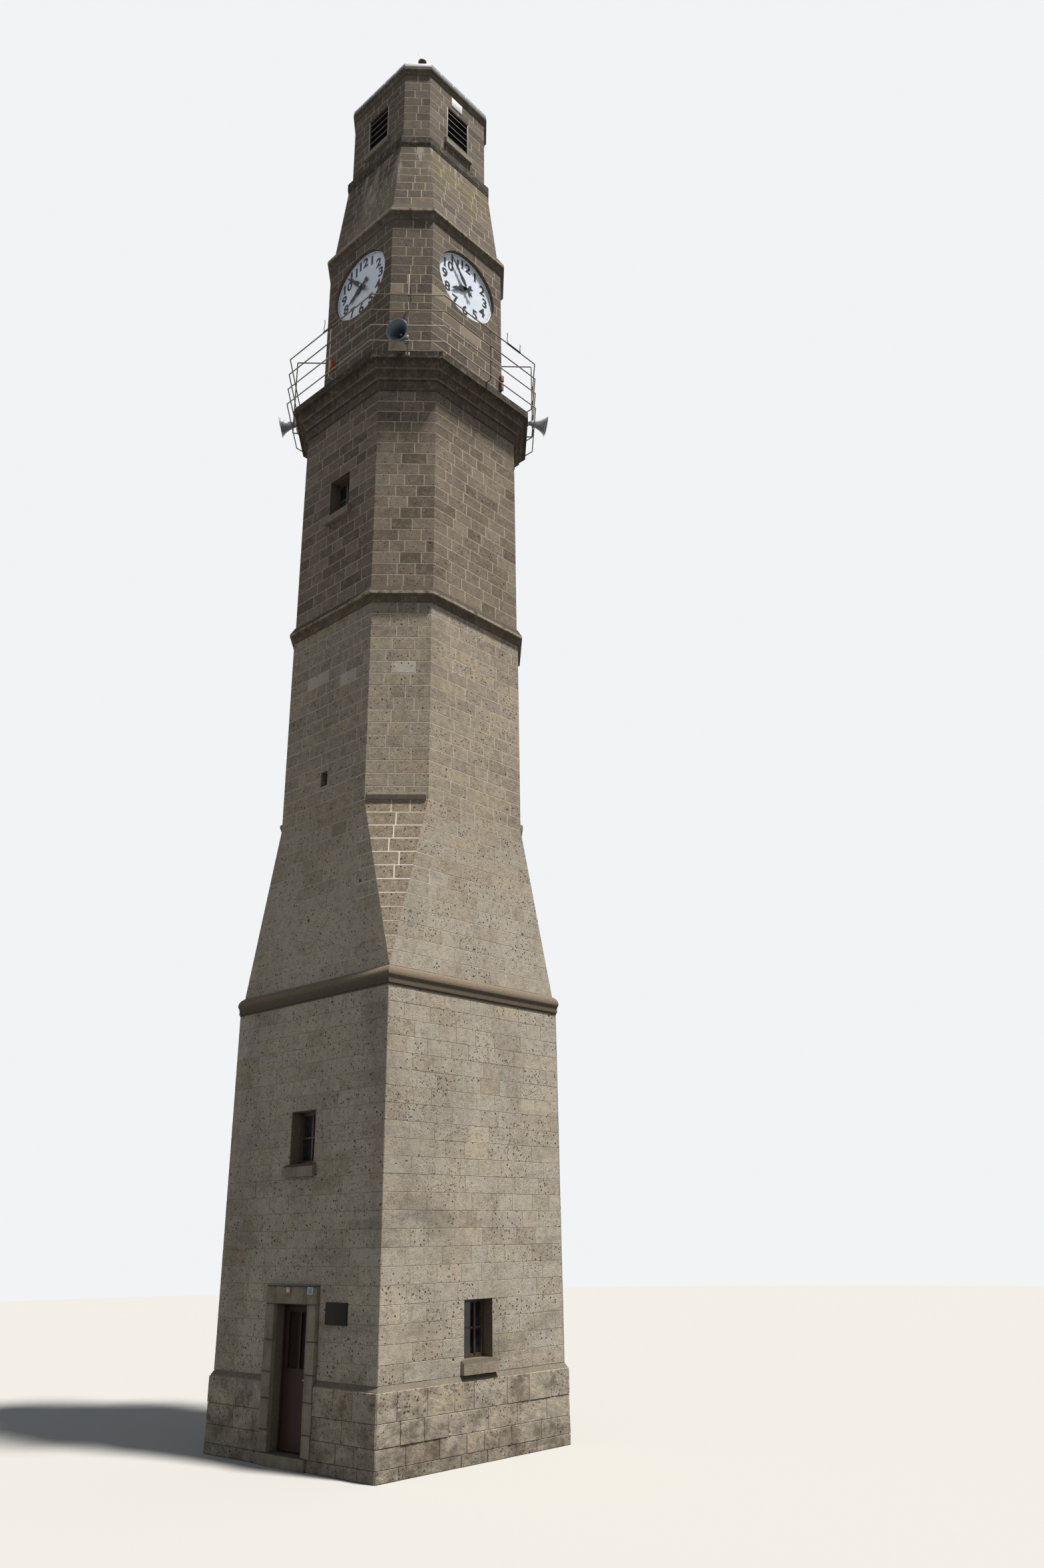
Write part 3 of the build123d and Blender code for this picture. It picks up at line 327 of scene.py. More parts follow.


# Mouldings: tuff worked to a profile in blocks of 0.6 m, with painted shade in the hollows, black crust where
# rain doesn't reach, and a pale upright edge on each lip that is partly rain-washed and partly a painted
# highlight.


def moulded_tuff(name, stops, crust, green, black_from=99.0, black_to=99.0, block_length=0.62, lips=(),
                 lip_wash_and_highlight="#a89a86", hollow_shade_share=0.6):
    """Worked stone: a black band between two heights, a pale edge on each lip that is partly rain-washed and
    partly a painted highlight, and painted shade in the hollows.
    """
    made, tree, shader = new_material(name, roughness=0.94, specular=0.2)
    coords = add(tree, "TexCoord")
    place = coords.outputs["Object"]
    x, y, z = add(tree, "SeparateXYZ", {"Vector": place}).outputs
    turn_x, turn_y, turn_z = add(tree, "SeparateXYZ", {"Vector": coords.outputs["Normal"]}).outputs
    # distance along the wall, whichever way the face looks
    along = calc(tree, "SUBTRACT", calc(tree, "MULTIPLY", y, turn_x), calc(tree, "MULTIPLY", x, turn_y))
    flat = calc(tree, "MULTIPLY_ADD", turn_y, turn_y, calc(tree, "MULTIPLY", turn_x, turn_x))
    length = calc(tree, "MAXIMUM", calc(tree, "POWER", flat, 0.5), 0.05)
    number = calc(tree, "DIVIDE", calc(tree, "DIVIDE", along, length), block_length)
    part = calc(tree, "ABSOLUTE", calc(tree, "SUBTRACT", calc(tree, "FRACT", number), 0.5))
    joint = calc(tree, "MULTIPLY", fade(tree, part, 0.484, 0.494), fade(tree, flat, 0.25, 0.5))
    tone = add(tree, "TexWhiteNoise", {"W": calc(tree, "FLOOR", number)}, noise_dimensions="1D")
    shade = add(tree, "ValToRGB", {"Fac": tone}, stops=stops)
    cloud = noise(tree, place, 9.0, 6.0, 0.7)
    grain = noise(tree, place, 70.0, 2.0, 0.75)
    shade = tint(tree, shade, "#b7ab97", cloud, 0.50, 0.68, 0.35)
    shade = tint(tree, shade, "#372f27", grain, 0.44, 0.34, 0.6)
    # black crust in streaks that run down, and green stain where it breaks up
    streak = noise(tree, place, 1.6, 6.0, 0.68, drawn=(2.2, 2.2, 1.3))
    shade = tint(tree, shade, "#312c26", streak, 0.42, 0.60, crust)
    low = fade(tree, z, black_from - 0.06, black_from + 0.06)
    band = calc(tree, "MULTIPLY", low, fade(tree, z, black_to + 0.05, black_to - 0.05))
    band = calc(tree, "MULTIPLY", band, fade(tree, cloud, 0.66, 0.50, 0.92))
    shade = mix(tree, band, shade, "#38332b")
    shade = tint(tree, shade, "#7d7850", streak, 0.56, 0.66, green, within=fade(tree, cloud, 0.44, 0.60))
    shade = tint(tree, shade, "#3c362d", turn_z, 0.10, 0.38, 0.85)
    shade = mix(tree, calc(tree, "MULTIPLY", joint, 0.5), shade, "#978c7a")
    for foot, head in lips:
        # the upright edge of each lip is paler: partly stone washed clean by rain, partly a painted highlight
        over = fade(tree, z, foot - 0.012, foot + 0.004)
        washed_and_lit_lip = calc(tree, "MULTIPLY", over, fade(tree, z, head + 0.012, head - 0.004))
        washed_and_lit_lip = calc(tree, "MULTIPLY", washed_and_lit_lip, fade(tree, cloud, 0.38, 0.50, 0.8))
        shade = mix(tree, washed_and_lit_lip, shade, lip_wash_and_highlight)
    # painted shade in the hollows, by ambient occlusion
    hollow_shade = add(tree, "AmbientOcclusion", {"Distance": 0.06}, samples=4)
    shade = tint(tree, shade, "#29241e", hollow_shade.outputs["AO"], 0.7, 0.35, hollow_shade_share)
    height = calc(tree, "MULTIPLY_ADD", grain, 0.4, cloud)
    height = calc(tree, "MULTIPLY_ADD", joint, -0.6, height)
    finish_surface(tree, shader, shade, height, 0.012)
    return made


string_stone = moulded_tuff(
    "moulded_tuff_strings", [(0.0, "#655a4d"), (0.5, "#6f6356"), (1.0, "#7a6e60")], 0.35, 0.15,
    STRING_4 - 0.02, BELFRY_FOOT, lips=((14.256, 14.302), (24.093, 24.157)))
lower_string_stone = moulded_tuff(
    "moulded_tuff_of_the_corner_beads", [(0.0, "#93887a"), (0.5, "#9d9282"), (1.0, "#a69c8c")], 0.12, 0.0,
    lips=((10.260, 10.302),), hollow_shade_share=0.0)
cornice_stone = moulded_tuff(
    "moulded_tuff_balcony_cornice", [(0.0, "#5c5146"), (0.5, "#675b4e"), (1.0, "#72665a")], 0.42, 0.32,
    SLAB_TOP - 0.17, SLAB_TOP + 0.2, lips=((19.250, 19.290), (19.430, 19.462)), lip_wash_and_highlight="#83776a")
trim_stone = moulded_tuff(
    "moulded_tuff_sills_and_reveals", [(0.0, "#8b8170"), (0.5, "#968c7c"), (1.0, "#a09686")], 0.30, 0.05)
step_stone = moulded_tuff(
    "worn_stone_doorstep", [(0.0, "#8d8475"), (0.5, "#999081"), (1.0, "#a39a8a")], 0.25, 0.0,
    block_length=0.40)
floor_stone = moulded_tuff(
    "flagstone_floor", [(0.0, "#7f7666"), (0.5, "#8c8372"), (1.0, "#978d7b")], 0.30, 0.0)


# Shaping


def mode(name):
    bpy.ops.object.mode_set(mode=name)


def pick(action):
    bpy.ops.mesh.select_all(action=action)


def rest_selection():
    """Leaves edit mode with nothing selected."""
    if bpy.context.object and bpy.context.object.mode == "EDIT":
        mode("OBJECT")
    bpy.ops.object.select_all(action="DESELECT")


def take(piece):
    rest_selection()
    piece.select_set(True)
    bpy.context.view_layer.objects.active = piece


def settle(piece=None):
    """Puts a piece's place into its mesh; the piece just made, if none is given."""
    piece = piece or bpy.context.object
    take(piece)
    bpy.ops.object.transform_apply(location=True, rotation=True, scale=True)
    return piece


def settle_smooth():
    """Settles the piece just made and shades it smooth."""
    piece = settle()
    bpy.ops.object.shade_smooth()
    return piece


def place_at(piece, matrix):
    piece.matrix_world = matrix @ piece.matrix_world
    return settle(piece)


def shift(x, y, z):
    return Matrix.Translation((x, y, z))


def turn(degrees, axis):
    return Matrix.Rotation(math.radians(degrees), 4, axis)


def quarter_turn(quarter, corner=False):
    return turn(90 * quarter + (45 if corner else 0), "Z")


def place_face(piece, apothem, foot, quarter, corner=False, lean=0.0):
    """Stands a piece drawn at the axis on a face: leaned back, moved out and turned."""
    out = shift(0, -apothem, foot) @ Matrix.Rotation(-lean, 4, "X")
    return place_at(piece, quarter_turn(quarter, corner) @ out)


def apply_modifier(piece, kind, **settings):
    modifier = piece.modifiers.new(kind.lower(), kind)
    for name, value in settings.items():
        setattr(modifier, name, value)
    take(piece)
    bpy.ops.object.modifier_apply(modifier=modifier.name)


def bevel(piece, width, segments, angle):
    apply_modifier(
        piece, "BEVEL", width=width, segments=segments, limit_method="ANGLE", angle_limit=math.radians(angle))


def soften(piece, width, segments=2, angle=35):
    """Rounds a piece's arrises and shades it smooth between them."""
    bevel(piece, width, segments, angle)
    take(piece)
    bpy.ops.object.shade_smooth_by_angle(angle=math.radians(40))
    return piece


def join(name, pieces):
    take(pieces[0])
    for piece in pieces:
        piece.select_set(True)
    bpy.ops.object.join()
    pieces[0].name = name
    return pieces[0]


def copy_of(piece):
    twin = piece.copy()
    twin.data = piece.data.copy()
    bpy.context.collection.objects.link(twin)
    return twin


def all_sides(piece, corner=False):
    """A piece made on the door side, and a copy of it on each of the other three sides."""
    pieces = [piece] + [copy_of(piece) for _ in range(3)]
    return [place_at(each, quarter_turn(quarter, corner)) for quarter, each in enumerate(pieces)]


def dress(piece, material=None, body=TOWER, stands_for=()):
    if material:
        piece.data.materials.clear()
        piece.data.materials.append(material)
    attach(piece, body)
    if stands_for:
        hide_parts(*stands_for)
    return piece


def slab(name, low, high, material, arris=0.004, segments=2):
    """A squared piece between two corners, with its arrises rounded."""
    low, high = Vector(low), Vector(high)
    bpy.ops.mesh.primitive_cube_add(size=1, location=(low + high) / 2)
    piece = bpy.context.object
    piece.name = name
    piece.scale = high - low
    settle(piece)
    soften(piece, arris, segments)
    piece.data.materials.append(material)
    return piece


def tube(name, points, radius, material, sides=3, cyclic=False, smooth=False):
    """A round bar or wire along a line of points, made a mesh."""
    bpy.ops.curve.primitive_nurbs_path_add(location=(0, 0, 0))
    piece = bpy.context.object
    piece.name = name
    line = piece.data
    line.splines.clear()
    spline = line.splines.new("NURBS" if smooth else "POLY")
    spline.points.add(len(points) - 1)
    for spot, point in zip(spline.points, points):
        spot.co = (*point, 1)
    spline.use_cyclic_u = cyclic
    if smooth:
        spline.order_u = 3
        spline.use_endpoint_u = True
    line.dimensions = "3D"
    line.resolution_u = 6
    line.bevel_depth = radius
    line.bevel_resolution = sides
    line.use_fill_caps = True
    take(piece)
    bpy.ops.object.convert(target="MESH")
    bpy.ops.object.shade_smooth_by_angle(angle=math.radians(50))
    piece.data.materials.clear()
    piece.data.materials.append(material)
    return piece


def turning(name, section, material, sides=28, closed=(False, False)):
    """A round piece about the Y axis: a ring drawn out through each (radius, along) of its section."""
    bpy.context.tool_settings.mesh_select_mode = (True, False, False)
    radius, along = section[0]
    bpy.ops.mesh.primitive_circle_add(vertices=sides, radius=radius, location=(0, along, 0), rotation=ALONG_Y)
    piece = settle()
    piece.name = name
    mode("EDIT")
    pick("SELECT")
    if closed[0]:
        bpy.ops.mesh.edge_face_add()
        pick("SELECT")
    extrude = bpy.ops.mesh.extrude_region_move if closed[0] else bpy.ops.mesh.extrude_edges_move
    for (r0, y0), (r1, y1) in zip(section, section[1:]):
        extrude(TRANSFORM_OT_translate={"value": (0, y1 - y0, 0)})
        bpy.ops.transform.resize(value=(r1 / r0, 1, r1 / r0), center_override=(0, y1, 0))
    if closed[1] and not closed[0]:
        bpy.ops.mesh.edge_face_add()
    pick("SELECT")
    bpy.ops.mesh.remove_doubles(threshold=0.00005)
    bpy.ops.mesh.normals_make_consistent(inside=False)
    take(piece)
    bpy.ops.object.shade_smooth_by_angle(angle=math.radians(45))
    piece.data.materials.append(material)
    return piece


def upright_plane(name, width, foot, head):
    bpy.ops.mesh.primitive_plane_add(size=1, location=(0, 0, (foot + head) / 2), rotation=ALONG_Y)
    piece = bpy.context.object
    piece.name = name
    piece.scale = (width, head - foot, 1)
    return settle(piece)


def rolled_ring(radius, thickness, sides, place=(0, 0, 0)):
    bpy.ops.mesh.primitive_torus_add(
        major_segments=sides, minor_segments=8, major_radius=radius, minor_radius=thickness, location=place,
        rotation=ALONG_Y)
    return settle_smooth()


def bore_out(piece, radius, height, sides):
    """Cuts a round hole through a piece, along the Y axis."""
    bpy.ops.mesh.primitive_cylinder_add(
        vertices=sides, radius=radius, depth=1, location=(0, 0, height), rotation=ALONG_Y)
    cutter = settle()
    apply_modifier(piece, "BOOLEAN", operation="DIFFERENCE", object=cutter, solver="EXACT")
    bpy.data.objects.remove(cutter)


# Blocks as real geometry

# A course's joint keeps this far from one below, or else steps aside
JOINT_STAGGER = 0.07
STEP_ASIDE = 0.10
# and this far from the edge of an opening
EDGE_STAGGER = 0.11
SLACK = 0.01


def extent(face):
    """Left, right, low and high of a face drawn in the XZ plane."""
    xs = [v.co.x for v in face.verts]
    zs = [v.co.z for v in face.verts]
    return min(xs), max(xs), min(zs), max(zs)


def cut(wall, chosen, point, normal, clear=False):
    """Bisects the faces that chosen picks; clear drops the side that the normal points to."""
    pick("DESELECT")
    found = False
    for face in bmesh.from_edit_mesh(wall.data).faces:
        if chosen(*extent(face)):
            face.select_set(True)
            found = True
    if found:
        bpy.ops.mesh.bisect(plane_co=point, plane_no=normal, clear_outer=clear)


def joint_places(rng, half, shortest, longest, below):
    """Places of a course's upright joints, kept off the joints of the course below."""
    places = []
    x = -half
    while True:
        x += rng.uniform(shortest, longest)
        if any(abs(x - other) < JOINT_STAGGER for other in below):
            x += STEP_ASIDE
        if x > half - 0.55 * shortest:
            return places
        places.append(x)


def ashlar(name, lines, halves, lengths, seed, joint, proud, holes=(), wear=0.0, arris=0.005):
    """The dressed blocks of one wall face, drawn upright at the axis with its foot at 0.

    Courses are cut first, then each course's upright joints; the blocks are parted, shrunk by
    half a joint, thickened into the wall and their arrises softened. Wear wrinkles their faces."""
    rng = random.Random(seed)
    foot, head = lines[0], lines[-1]
    foot_half, head_half = halves
    wall = upright_plane(name, 2 * max(halves), foot, head)
    mode("EDIT")
    bpy.context.tool_settings.mesh_select_mode = (False, False, True)
    for line in lines[1:-1]:
        cut(wall, lambda x0, x1, z0, z1: z0 < line < z1, (0, 0, line), (0, 0, 1))
    below = []
    for low, high in zip(lines, lines[1:]):
        middle = (low + high) / 2
        half = foot_half + (head_half - foot_half) * (middle - foot) / (head - foot)
        edges = []
        for x0, x1, z0, z1 in holes:
            if z0 < high - SLACK and z1 > low + SLACK:
                edges += [x0, x1]
        places = joint_places(rng, half, *lengths, below)
        places = [x for x in places if all(abs(x - edge) > EDGE_STAGGER for edge in edges)]
        for x in places + edges:
            cut(wall, lambda x0, x1, z0, z1: low - SLACK < z0 and z1 < high + SLACK and x0 < x < x1,
                (x, 0, 0), (1, 0, 0))
        below = places
    if abs(foot_half - head_half) > 0.001:
        for side in (1, -1):
            normal = Vector((side * (head - foot), 0, foot_half - head_half)).normalized()
            cut(wall, lambda *room: True, (side * foot_half, 0, foot), normal, clear=True)
    for x0, x1, z0, z1 in holes:
        for line in (z0, z1):
            cut(wall, lambda a, b, c, d: a > x0 - SLACK and b < x1 + SLACK and c < line < d,
                (0, 0, line), (0, 0, 1))
        pick("DESELECT")
        for face in bmesh.from_edit_mesh(wall.data).faces:
            a, b, c, d = extent(face)
            if a > x0 - SLACK and b < x1 + SLACK and c > z0 - SLACK and d < z1 + SLACK:
                face.select_set(True)
        bpy.ops.mesh.delete(type="FACE")
    pick("SELECT")
    bpy.ops.mesh.edge_split(type="EDGE")
    pick("SELECT")
    bpy.ops.mesh.dissolve_limited(angle_limit=0.02)
    pick("SELECT")
    bpy.ops.mesh.inset(thickness=joint / 2, use_individual=True, use_even_offset=True)
    pick("INVERT")
    bpy.ops.mesh.delete(type="FACE")
    pick("SELECT")
    bpy.ops.transform.translate(value=(0, -proud, 0))
    for step in (0.12 * proud, 0.24 * proud, 0.36 * proud):
        pick("DESELECT")
        for face in bmesh.from_edit_mesh(wall.data).faces:
            face.select_set(rng.random() < 0.4)
        bpy.ops.transform.translate(value=(0, -step, 0))
    if wear:
        pick("SELECT")
        bpy.ops.mesh.subdivide(number_cuts=8)
    mode("OBJECT")
    mark_tones(wall, rng)
    apply_modifier(wall, "SOLIDIFY", thickness=proud + wear + 0.012, offset=-1)
    if wear:
        wrinkle(wall, wear, 0.15, seed)
    bevel(wall, arris, 1, 60 if wear else 40)
    return wall


def wrinkle(piece, depth, size, seed):
    """Wears a face away unevenly, by clouds of a real size."""
    clouds = bpy.data.textures.new("wear_" + str(seed), "CLOUDS")
    clouds.noise_scale = size
    clouds.noise_depth = 3
    apply_modifier(piece, "DISPLACE", texture=clouds, strength=depth, mid_level=0.3, direction="Y",
                   texture_coords="LOCAL")


def mark_tones(wall, rng):
    """Gives each block one shade, found by following its joined faces."""
    mesh = wall.data
    tones = mesh.attributes.new("tone", "FLOAT", "FACE")
    work = bmesh.new()
    work.from_mesh(mesh)
    work.faces.ensure_lookup_table()
    seen = set()
    for face in work.faces:
        if face.index in seen:
            continue
        tone = 0.02 + rng.random() * 0.95
        group = [face]
        seen.add(face.index)
        while group:
            here = group.pop()
            tones.data[here.index].value = tone
            for edge in here.edges:
                for other in edge.link_faces:
                    if other.index not in seen:
                        seen.add(other.index)
                        group.append(other)
    work.free()


def renew_blocks(wall, places):
    """Marks the blocks at some places as replaced ones; all faces of a block share a tone."""
    tones = wall.data.attributes["tone"].data
    faces = wall.data.polygons
    for place in places:
        spot = Vector(place)
        nearest = min(faces, key=lambda face: (face.center - spot).length_squared)
        tone = tones[nearest.index].value
        for face in faces:
            if tones[face.index].value == tone and (face.center - spot).length < 0.6:
                tones[face.index].value = 1.0


def course_lines(height, course=COURSE):
    count = max(1, round(height / course))
    return [height * i / count for i in range(count + 1)]


def shifted(hole, by):
    return (hole[0], hole[1], hole[2] - by, hole[3] - by)


def corner_apothem(half, edge):
    """How far an octagon's corner faces stand from its axis."""
    return (half + edge) / math.sqrt(2)


def corner_half(half, edge):
    """Half the width of an octagon's corner faces."""
    return (half - edge) / math.sqrt(2)


# Square base and eroded plinth

DOORWAY = (-0.628, 0.628, 0.160, 2.195)
DOORSTEP = (-0.535, 0.535, 0.0, 0.160)
LINTEL = (-0.628, 0.628, 2.195, 2.452)
BASE_WINDOW = (-0.313, 0.313, 4.043, 5.061)
SIDE_WINDOW = (-0.303, 0.313, 1.186, 2.220)

base_lines = course_lines(BASE_STRING - BASE_FOOT)
plinth_lines = [0.0, 0.16, 0.42, 0.72, PLINTH_TOP - 0.01]
base_blocks = []
for quarter in range(4):
    holes = {0: [DOORWAY, DOORSTEP, LINTEL, BASE_WINDOW], 1: [SIDE_WINDOW]}.get(quarter, [])
    wall = ashlar(
        "base_wall", base_lines, (BASE_HALF + 0.012,) * 2, (0.34, 0.68), 10 + quarter, joint=0.005,
        proud=0.0032, holes=[shifted(hole, BASE_FOOT) for hole in holes if hole[3] > BASE_FOOT], arris=0.003)
    place_face(wall, BASE_HALF, BASE_FOOT, quarter)
    foot = ashlar(
        "base_plinth", plinth_lines, (PLINTH_HALF + 0.010,) * 2, (0.36, 0.74), 20 + quarter, joint=0.008,
        proud=0.016, holes=[hole for hole in holes if hole[2] < BASE_FOOT], wear=0.018, arris=0.003)
    place_face(foot, PLINTH_HALF, 0.0, quarter)
    base_blocks += [wall, foot]
base_ashlar = join("base_ashlar", base_blocks)
dress(base_ashlar, base_tuff)

# Broach: main faces narrow upwards, corner faces grow from a point and lean back

broach_lines = course_lines(SHAFT_1_FOOT - BROACH_FOOT)
corner_foot = corner_apothem(BROACH_HALF, BROACH_HALF)
corner_head = corner_apothem(BROACH_HALF, SHAFT_1_EDGE)
broach_rise = SHAFT_1_FOOT - BROACH_FOOT
broach_lean = math.atan2(corner_foot - corner_head, broach_rise)
broach_slope = math.hypot(corner_foot - corner_head, broach_rise)
slope_lines = [z * broach_slope / broach_rise for z in broach_lines]
broach_blocks = []
for quarter in range(4):
    wall = ashlar(
        "broach_wall", broach_lines, (BROACH_HALF + 0.008, SHAFT_1_EDGE + 0.008), (0.32, 0.60), 30 + quarter,
        joint=0.011, proud=0.0016, arris=0.002)
    place_face(wall, BROACH_HALF, BROACH_FOOT, quarter)
    corner = ashlar(
        "broach_corner", slope_lines, (0.012, corner_half(BROACH_HALF, SHAFT_1_EDGE) + 0.008), (0.30, 0.46),
        40 + quarter, joint=0.020 if quarter == 0 else 0.013, proud=0.0016, arris=0.002)
    if quarter == 0:
        # the near corner face is of browner blocks
        for tone in corner.data.attributes["tone"].data:
            tone.value *= 0.015
    place_face(corner, corner_foot, BROACH_FOOT, quarter, corner=True, lean=broach_lean)
    broach_blocks += [wall, corner]
broach_ashlar = join("broach_ashlar", broach_blocks)
renew_blocks(broach_ashlar, [(0.478, -1.967, 9.762)])
dress(broach_ashlar, base_tuff)


def octagon_blocks(name, foot, head, half, edge, seed, joint, lengths, corner_lengths, holes=None, bore=None):
    """Blocks of the four main faces and four corner faces of an upright octagonal stage."""
    lines = course_lines(head - foot)
    grow = joint / 2 + SHAFT_PROUD * OCTAGON_MITRE
    pieces = []
    for quarter in range(4):
        room = [shifted(hole, foot) for hole in (holes or {}).get(quarter, [])]
        wall = ashlar(
            name, lines, (edge + grow,) * 2, lengths, seed + quarter, joint, SHAFT_PROUD,
            holes=room, arris=0.002)
        if bore:
            # a round recess, cut through the blocks of the face
            bore_out(wall, bore, DIAL_Z - foot, 96)
        place_face(wall, half, foot, quarter)
        corner = ashlar(
            name, lines, (corner_half(half, edge) + grow,) * 2, corner_lengths, seed + 10 + quarter, joint,
            SHAFT_PROUD, arris=0.002)
        place_face(corner, corner_apothem(half, edge), foot, quarter, corner=True)
        pieces += [wall, corner]
    return join(name, pieces)


# Lower shaft with the small outlet hole of the door side, upper shaft with its window

OUTLET = (-0.086, 0.110, 10.752, 11.040)
shaft_1_ashlar = octagon_blocks(
    "shaft_1_ashlar", SHAFT_1_FOOT, STRING_2, BROACH_HALF, SHAFT_1_EDGE, 50, 0.017,
    (0.30, 0.56), (0.28, 0.44), {0: [OUTLET]})
renew_blocks(shaft_1_ashlar, [
    (-0.286, -1.967, 13.003), (0.733, -1.967, 12.726), (-1.115, -1.967, 13.006), (1.555, -1.585, 12.747)])
dress(shaft_1_ashlar, shaft_tuff)

UPPER_WINDOW = (-0.269, 0.341, 16.460, 17.487)
shaft_2_ashlar = octagon_blocks(
    "shaft_2_ashlar", SHAFT_2_FOOT, CORNICE, SHAFT_2_HALF, SHAFT_2_EDGE, 80, 0.020,
    (0.30, 0.56), (0.28, 0.44), {0: [UPPER_WINDOW]})
dress(shaft_2_ashlar, upper_tuff)

# Clock stage, its blocks cut back round the dials' recesses

clock_ashlar = octagon_blocks(
    "clock_ashlar", SLAB_TOP, STRING_3, CLOCK_HALF, CLOCK_EDGE, 110, 0.020, (0.28, 0.54), (0.26, 0.42),
    bore=RECESS_RADIUS)
renew_blocks(clock_ashlar, [(1.233, -1.530, 22.075), (1.699, -0.55, 21.75), (1.699, 0.1, 21.5)])
dress(clock_ashlar, top_tuff)

# Tapering stage, leaned back on all eight faces

taper_rise = STRING_4 - TAPER_FOOT
taper_blocks = []
taper_faces = (
    (TAPER_HALF, TAPER_TOP_HALF, TAPER_EDGE, TAPER_TOP_EDGE, False, (0.28, 0.50)),
    (
        corner_apothem(TAPER_HALF, TAPER_EDGE), corner_apothem(TAPER_TOP_HALF, TAPER_TOP_EDGE),
        corner_half(TAPER_HALF, TAPER_EDGE), corner_half(TAPER_TOP_HALF, TAPER_TOP_EDGE), True, (0.26, 0.42),
    ),
)
for at_foot, at_head, half_foot, half_head, corner, lengths in taper_faces:
    lean = math.atan2(at_foot - at_head, taper_rise)
    slope = math.hypot(at_foot - at_head, taper_rise)
    for quarter in range(4):
        wall = ashlar(
            "taper_wall", course_lines(slope), (half_foot + 0.010, half_head + 0.010), lengths,
            140 + quarter + (10 if corner else 0), joint=0.020, proud=SHAFT_PROUD, arris=0.002)
        place_face(wall, at_foot, TAPER_FOOT, quarter, corner=corner, lean=lean)
        taper_blocks.append(wall)
taper_ashlar = join("taper_ashlar", taper_blocks)
dress(taper_ashlar, top_tuff)

# Belfry

LOUVRE = (-0.353, 0.353, 27.115, 28.385)
belfry_ashlar = octagon_blocks(
    "belfry_ashlar", BELFRY_FOOT, TOP_CORNICE, BELFRY_HALF, BELFRY_EDGE, 170, 0.020,
    (0.26, 0.46), (0.24, 0.36), {quarter: [LOUVRE] for quarter in range(4)})
dress(belfry_ashlar, top_tuff)


# Carried-over walls and mouldings get their own materials


def give(material, *nodes):
    for name in nodes:
        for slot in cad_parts[name].material_slots:
            slot.material = material


give(base_core, "door_wall_left", "door_wall_centre", "door_wall_right", "right_wall", "back_wall",
     "left_wall")
give(shaft_core, "broach_faces", "broach_sides", "shaft_1_faces", "shaft_1_corners")
give(upper_core, "shaft_2_faces", "shaft_2_corners", "clock_faces", "clock_corners", "taper_faces",
     "taper_corners", "belfry_faces", "belfry_corners")
give(string_stone, "string_faces", "string_corners")
give(lower_string_stone, "broach_strings")
give(cornice_stone, "cornice_faces", "cornice_corners")
give(trim_stone, "door_surround", "sills")
give(step_stone, "threshold")
give(floor_stone, "ground_floor")


# Metals, paints and glass


def painted(name, dark, light, wear, wear_from, roughness=0.55, metallic=0.0, scale=9.0, specular=0.5,
            places=(0.3, 0.7)):
    """Paint or patina over metal: clouded tone, and wear where the surface has flaked."""
    made, tree, shader = new_material(name, roughness=roughness, metallic=metallic, specular=specular)
    place = add(tree, "TexCoord").outputs["Object"]
    cloud = noise(tree, place, scale, 6.0, 0.6)
    flake = noise(tree, place, scale * 6, 4.0, 0.7)
    shade = add(tree, "ValToRGB", {"Fac": cloud}, stops=list(zip(places, (dark, light))))
    gone = fade(tree, flake, wear_from, wear_from + 0.06)
    shade = mix(tree, gone, shade, wear)
    height = calc(tree, "MULTIPLY_ADD", gone, -1.2, cloud)
    rough = fade(tree, cloud, top=roughness + 0.14, bottom=roughness - 0.12)
    tree.links.new(rough.outputs["Result"], shader.inputs["Roughness"])
    finish_surface(tree, shader, shade, height, 0.0015, 0.6)
    return made


# Maroon alkyd paint rolled on sheet steel: satin, a little chalked, with a few chips
door_paint = painted("maroon_alkyd_paint_on_sheet_steel", "#2e1e1c", "#382522", "#4d342c", 0.72,
                     specular=0.15)
# Dark brown paint brushed on steel window bars: dull, browner where rust shows
window_paint = painted("dark_brown_paint_on_steel_bars", "#3a2c24", "#4b3a2f", "#6a5140", 0.68)
# Stainless lever rubbed bright by use over a dull plate
handle_metal = painted("worn_stainless_lever", "#5d5a56", "#77746e", "#3f3c38", 0.66, 0.38, 1.0)
# Cast bronze with a dark brown patina, rubbed lighter on the rim
bronze = painted("dark_patinated_cast_bronze", "#1c1b19", "#252420", "#39362f", 0.68, 0.7, 0.0, 14.0,
                 specular=0.15)
# Vitreous enamel on pressed steel: glossy, chipped at the edges
plate_cream = painted("cream_vitreous_enamel", "#b9ae98", "#c9bfa9", "#8c7458", 0.66, 0.35)
plate_brown = painted("brown_vitreous_enamel", "#6b4a33", "#7c583d", "#4a3526", 0.68, 0.35)
plate_blue = painted("blue_vitreous_enamel", "#3a6a9c", "#4a7cae", "#27466a", 0.68, 0.3)
plate_white = painted("white_coated_sheet", "#d4d5d6", "#e2e3e3", "#b0aca2", 0.70, 0.4)
# Zinc-coated pressed louvre blades: pale lips, dirty faces
louvre_metal = painted("zinc_coated_louvre_blades", "#787670", "#908e87", "#5a554c", 0.62, 0.6, 0.1)
louvre_dark = painted("sooted_steel_louvre_frame", "#2c2823", "#37322b", "#1f1c18", 0.62, 0.75,
                      specular=0.15)
# White vitreous enamel on sheet steel: smooth, cool white, with faint dirt
dial_enamel = painted("white_vitreous_enamel_dial", "#dbe4ee", "#e5ecf5", "#c2c4c2", 0.76, 0.35, 0.0, 3.0)
numeral_paint = painted("black_enamel_numerals", "#0f1115", "#171a1f", "#25272a", 0.72, 0.5,
                        specular=0.2)
# Black gloss paint on cut sheet hands
hand_paint = painted("black_gloss_paint_on_hands", "#0a0e13", "#11161d", "#22262c", 0.72, 0.5,
                     specular=0.2)
